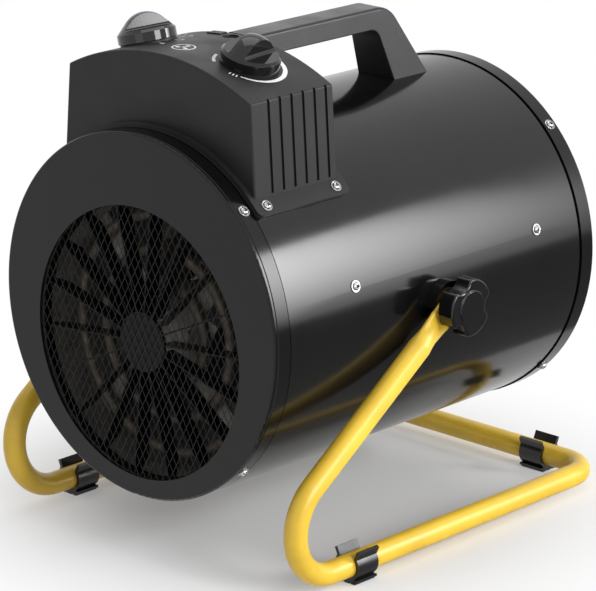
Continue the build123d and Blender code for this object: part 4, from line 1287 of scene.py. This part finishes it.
@dataclass(frozen=True)
class Studio:
    """Pale floor that fades into a white surround, a dark card for reflections, and the lamps."""

    boxes: tuple[SoftBox, ...]
    floor_tone: float = 0.88
    floor_r: float = 9.0
    ambient: float = 0.27
    fade_from: float = 0.08
    fade_to: float = 0.32
    card_near: Point2 = (0.13, -0.26)
    card_far: Point2 = (1.35, 1.5)
    card_lift: float = 0.0005
    card_tone: float = 0.25

    def seen_ray(self, net: NodeTree) -> Socket:
        """1 for what the camera, gloss and glass see, and 0 for what lights the object.

        Args:
            net: the tree that needs it.

        Returns:
            The share.
        """
        path = net.add("ShaderNodeLightPath").outputs
        seen = net.calc("MAXIMUM", path["Is Camera Ray"], path["Is Glossy Ray"])
        return net.calc("MAXIMUM", seen, path["Is Transmission Ray"])

    def world(self) -> None:
        """White where it is seen, grey where it lights."""
        world = bpy.data.worlds.new("white_surround")
        bpy.context.scene.world = world
        world.use_nodes = True
        net = NodeTree(world.node_tree)
        back = world.node_tree.nodes["Background"]
        net.plug((1.0, 1.0, 1.0, 1.0), back.inputs["Color"])
        net.plug(net.between(self.seen_ray(net), 0.0, 1.0, self.ambient, 1.0), back.inputs["Strength"])

    def floor(self) -> None:
        """A wide pale floor that turns to plain white away from the heater."""
        shape = bmesh.new()
        bmesh.ops.create_circle(shape, cap_ends=True, segments=96, radius=self.floor_r)
        paint = ShaderTree("pale_floor", (self.floor_tone,) * 3, 0.9)
        paint.set(Specular_IOR_Level=0.1)
        reach = paint.add("ShaderNodeVectorMath", {"operation": "LENGTH"}, Vector=paint.place)
        fade = paint.between(reach.outputs["Value"], self.fade_from, self.fade_to, 0.0, 1.0, "SMOOTHSTEP")
        share = paint.calc("MULTIPLY", fade, self.seen_ray(paint))
        glow = paint.add("ShaderNodeEmission")
        mix = paint.add("ShaderNodeMixShader")
        for source, socket in zip((share, paint.shader.outputs[0], glow.outputs[0]), mix.inputs):
            paint.plug(source, socket)
        paint.plug(mix.outputs[0], paint.tree.nodes["Material Output"].inputs["Surface"])
        material = paint.material
        mesh_piece("pale_floor", shape, material)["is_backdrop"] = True

    def card(self) -> None:
        """A dark card flat on the floor, which only reflections show."""
        shape = bmesh.new()
        (x0, y0), (x1, y1) = self.card_near, self.card_far
        corners = ((x0, y0), (x1, y0), (x1, y1), (x0, y1))
        shape.faces.new([shape.verts.new((x, y, self.card_lift)) for x, y in corners])
        material = bpy.data.materials.new("dark_card")
        material.use_nodes = True
        net = NodeTree(material.node_tree)
        glow = net.add("ShaderNodeEmission", Color=(self.card_tone,) * 3 + (1.0,))
        net.plug(glow.outputs[0], material.node_tree.nodes["Material Output"].inputs["Surface"])
        piece = mesh_piece("dark_card", shape, material)
        for ray in ("camera", "diffuse", "transmission", "volume_scatter", "shadow"):
            setattr(piece, "visible_" + ray, False)
        piece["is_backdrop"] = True

    def build(self) -> None:
        """Builds the surround, the floor, the card and the lamps."""
        self.world()
        self.floor()
        self.card()
        for box in self.boxes:
            box.build()
        bpy.context.scene.view_settings.view_transform = "Standard"


@dataclass(frozen=True)
class PhotoCamera:
    """The camera at the photograph's place."""

    place: Colour = (1.5233, -1.671925, 0.84645)
    target: Colour = (0.0648, -0.084665, 0.18234)
    roll: float = 0.425
    lens: float = 204.6

    def build(self) -> None:
        """Sets the scene's camera."""
        data = bpy.data.cameras.new("photo_camera")
        data.sensor_width, data.lens = 36.0, self.lens
        data.sensor_fit = "HORIZONTAL"
        data.clip_start, data.clip_end = 0.05, 50.0
        camera = put("photo_camera", data)
        look = (Vector(self.target) - Vector(self.place)).to_track_quat("-Z", "Y").to_matrix()
        turn = look @ Matrix.Rotation(math.radians(self.roll), 3, "Z")
        camera.matrix_world = Matrix.Translation(self.place) @ turn.to_4x4()
        bpy.context.scene.camera = camera


# ---------------- the whole scene
LAMPS = (
    SoftBox("rear_right_box", (1.384, 1.304, 0.61), 0.65, 1.22, 70.0, (0.054, -0.053, 0.61),
            across=(1.0, 0.0), upward=(0.0, 1.3)),
    SoftBox("overhead_box", (-0.2, 0.2, 2.1), 1.6, 1.6, 12.0),
    SoftBox("right_box", (2.0, -0.18, 0.9), 0.85, 0.9, 25.5),
    SoftBox("front_box", (0.5, -2.2, 0.8), 1.2, 1.2, 2.5),
)


def main() -> None:
    """Builds the heater's pieces in order, then the studio and the camera."""
    logging.basicConfig(level=logging.INFO, format="%(name)s: %(message)s")
    bpy.ops.object.select_all(action="SELECT")
    bpy.ops.object.delete()
    heater = Heater()
    heater.dress_solids()
    AirOutlet().build(heater)
    PanHeadScrews().build(heater)
    ControlBox(heater).build()
    TouchPieces().build(heater)
    Studio(LAMPS).build()
    PhotoCamera().build()


if __name__ == "__main__":
    main()
